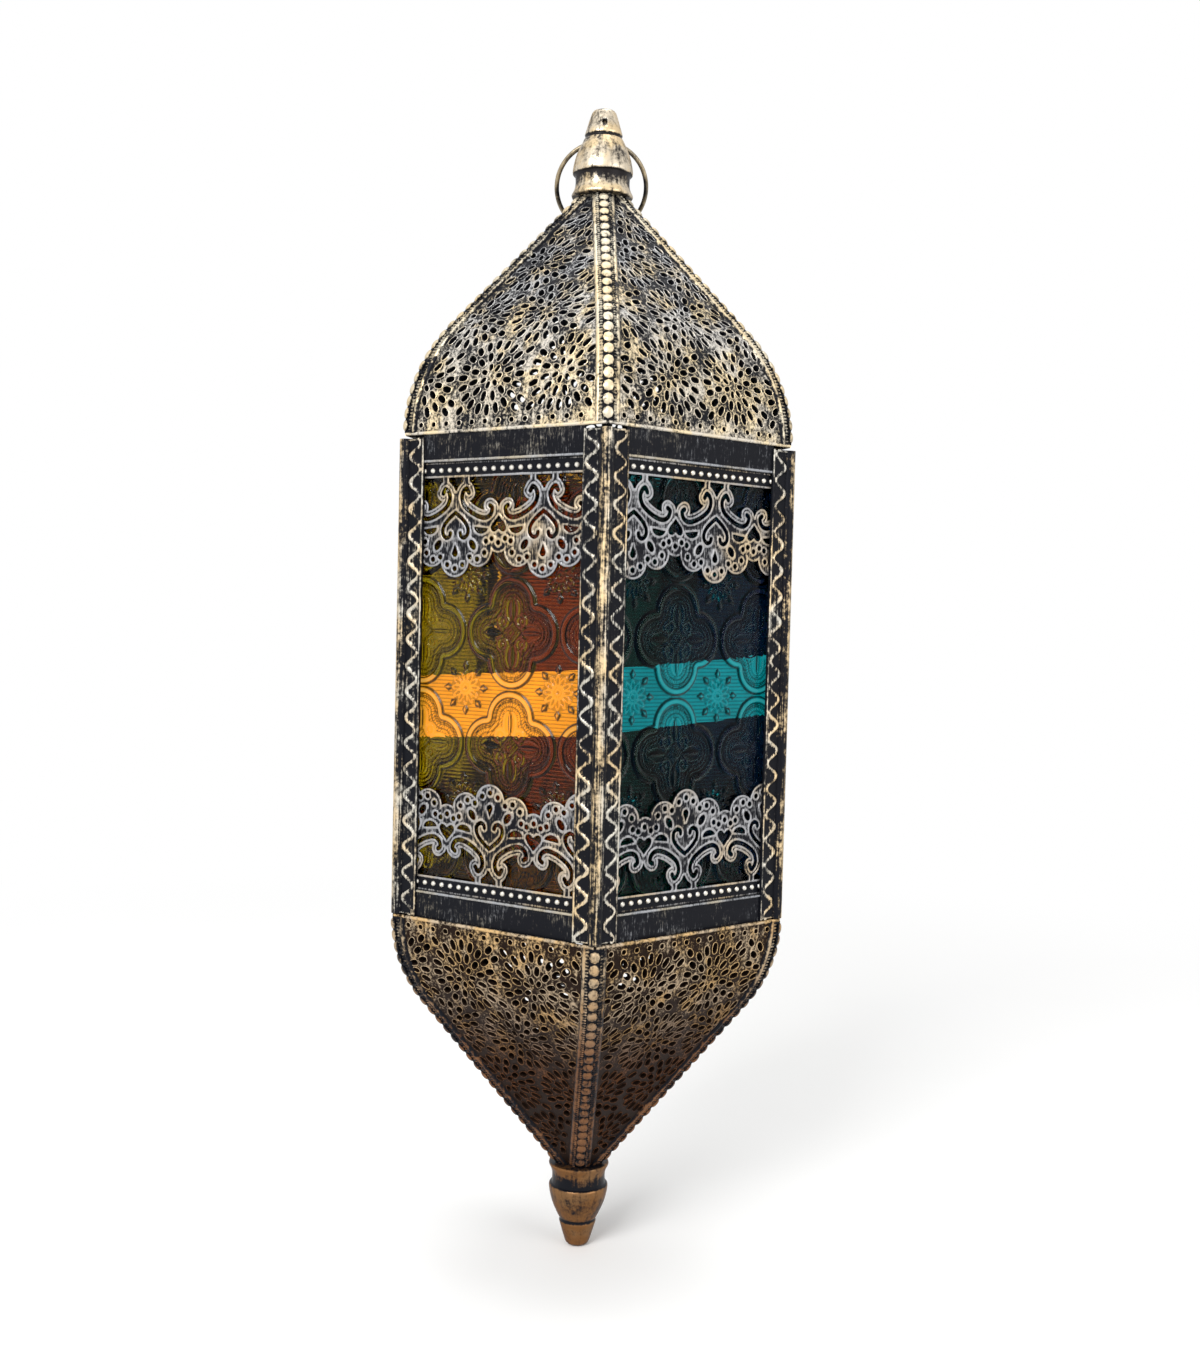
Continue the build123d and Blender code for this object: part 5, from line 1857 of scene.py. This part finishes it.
def main() -> None:
    """Builds every piece of the lantern, then the studio round it."""
    logging.basicConfig(level=logging.INFO, format="%(name)s: %(message)s")
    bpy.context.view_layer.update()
    roof = AgedMetal("roof_sheet_finish", mottle=95.0, ground=0.4, streaks=0.35, relief_gain=0.7, grain=0.85,
                     silver=(0.58, 0.58, 0.58, 1.0), gold=(0.8, 0.66, 0.43, 1.0))
    # The bowl and its ribs turn dark copper towards the foot, partly their copper tone and partly painted shade of the
    # down-facing bowl.
    bowl = AgedMetal("bowl_sheet_finish", mottle=95.0, ground=0.24, streaks=0.35, relief_gain=0.75, grain=0.85,
                     dark=(0.011, 0.0065, 0.005, 1.0), silver=(0.47, 0.42, 0.35, 1.0), gold=(0.6, 0.41, 0.2, 1.0),
                     copper=(0.13, 0.056, 0.027, 1.0), copper_and_shade_from=-0.34, copper_and_shade_to=-0.4, rough=0.55,
                     gloss=(0.6, 0.36, 0.24, 1.0))
    rib = AgedMetal("rib_finish", ground=0.02, streaks=0.4, relief_gain=0.9, silver=(0.62, 0.57, 0.46, 1.0),
                    gold=(0.68, 0.55, 0.35, 1.0), polish=(0.8, 0.73, 0.57, 1.0))
    bowl_rib = AgedMetal("bowl_rib_finish", ground=0.0, streaks=0.4, relief_gain=0.75, grain=0.8,
                         silver=(0.48, 0.39, 0.27, 1.0), gold=(0.46, 0.3, 0.15, 1.0), copper=(0.2, 0.095, 0.045, 1.0),
                         polish=(0.55, 0.42, 0.26, 1.0), copper_and_shade_from=-0.335, copper_and_shade_to=-0.385)
    post = AgedMetal("post_finish", ground=-0.08, streaks=0.75, relief_gain=0.82, streak_scale=1300.0,
                     streak_length=0.03, grain=0.75, silver=(0.56, 0.53, 0.46, 1.0), gold=(0.7, 0.53, 0.31, 1.0),
                     polish=(0.82, 0.74, 0.58, 1.0))
    rail = AgedMetal("rail_finish", ground=0.03, streaks=0.7, relief_gain=0.85, streak_scale=3400.0,
                     streak_length=0.06, silver=(0.33, 0.34, 0.36, 1.0), gold=(0.42, 0.37, 0.28, 1.0), grain=0.5)
    lace = AgedMetal("lace_finish", ground=0.2, streaks=0.7, relief_gain=0.75, mottle=50.0, streak_scale=1900.0,
                     silver=(0.33, 0.33, 0.34, 1.0), gold=(0.47, 0.37, 0.24, 1.0), grain=0.55,
                     polish=(0.7, 0.67, 0.6, 1.0))
    champagne = AgedMetal("top_finial_finish", ground=0.1, streaks=0.5, relief_gain=0.7, streak_scale=500.0, grain=0.5,
                          mottle=90.0, dark=(0.014, 0.012, 0.012, 1.0), silver=(0.62, 0.59, 0.53, 1.0),
                          gold=(0.72, 0.56, 0.34, 1.0), metal=0.75, rough=0.34)
    bronze = AgedMetal("bottom_finial_finish", ground=0.08, streaks=0.45, relief_gain=0.7, streak_scale=500.0, grain=0.4,
                       mottle=90.0, silver=(0.25, 0.145, 0.07, 1.0), gold=(0.22, 0.105, 0.04, 1.0),
                       polish=(0.42, 0.27, 0.14, 1.0), metal=0.85, rough=0.3)
    antique = AgedMetal("ring_finish", ground=0.15, streaks=0.1, relief_gain=0.5, grain=0.2, gold=(0.42, 0.34, 0.22, 1.0),
                        silver=(0.36, 0.32, 0.25, 1.0), metal=0.8, rough=0.36)
    tin = AgedMetal("tin_finish", dark=(0.16, 0.16, 0.16, 1.0), ground=0.4, streaks=0.3, relief_gain=0.4)
    hardware = AgedMetal("hardware_finish", dark=(0.05, 0.05, 0.055, 1.0), ground=0.25, streaks=0.4, relief_gain=0.4)
    panes = {
        Face.FRONT_LEFT: PatternGlass("amber_glass", (0.95, 0.45, 0.03, 1.0), line=0.01, gloss=0.3),
        Face.FRONT_RIGHT: PatternGlass("turquoise_glass", (0.003, 0.31, 0.35, 1.0), crest=0.5, line=0.012, gloss=0.05),
        Face.RIGHT: PatternGlass("violet_glass", (0.2, 0.028, 0.085, 1.0), crest=0.95),
        Face.BACK: PatternGlass("red_glass", (0.24, 0.062, 0.04, 1.0), crest=0.92),
        Face.LEFT: PatternGlass("green_glass", (0.42, 0.62, 0.08, 1.0), crest=0.9),
    }
    Studio().build()
    roof_slides = {Face.FRONT_LEFT: 9.3, Face.FRONT_RIGHT: 0.5, Face.RIGHT: -6.0, Face.BACK: 4.0, Face.LEFT: -3.0}
    bowl_slides = {Face.FRONT_LEFT: 3.0, Face.FRONT_RIGHT: -4.0, Face.RIGHT: 7.0, Face.BACK: 0.0, Face.LEFT: -8.0}
    PiercedPanels("roof", ROOF_CURVE, roof, "roof_sheet", roof_slides).build()
    PiercedPanels("bowl", BOWL_CURVE, bowl, "bowl_sheet", bowl_slides).build()
    BeadedRibs("roof", ROOF_CURVE, rib, "rib_strip").build()
    BeadedRibs("bowl", BOWL_CURVE, bowl_rib, "rib_strip").build()
    CornerPosts(post).build()
    RailSkins(rail).build()
    LaceStrips(lace).build()
    PatternPanes(panes).build()
    PaleStrips(PaleSheet("pale_sheet")).build()
    Finials(champagne, bronze).build()
    HangingRing(antique).build()
    CandleCup(tin).build()
    DoorTrim(post).build()
    dress_plain_solids(rail, tin, hardware)


if __name__ == "__main__":
    main()
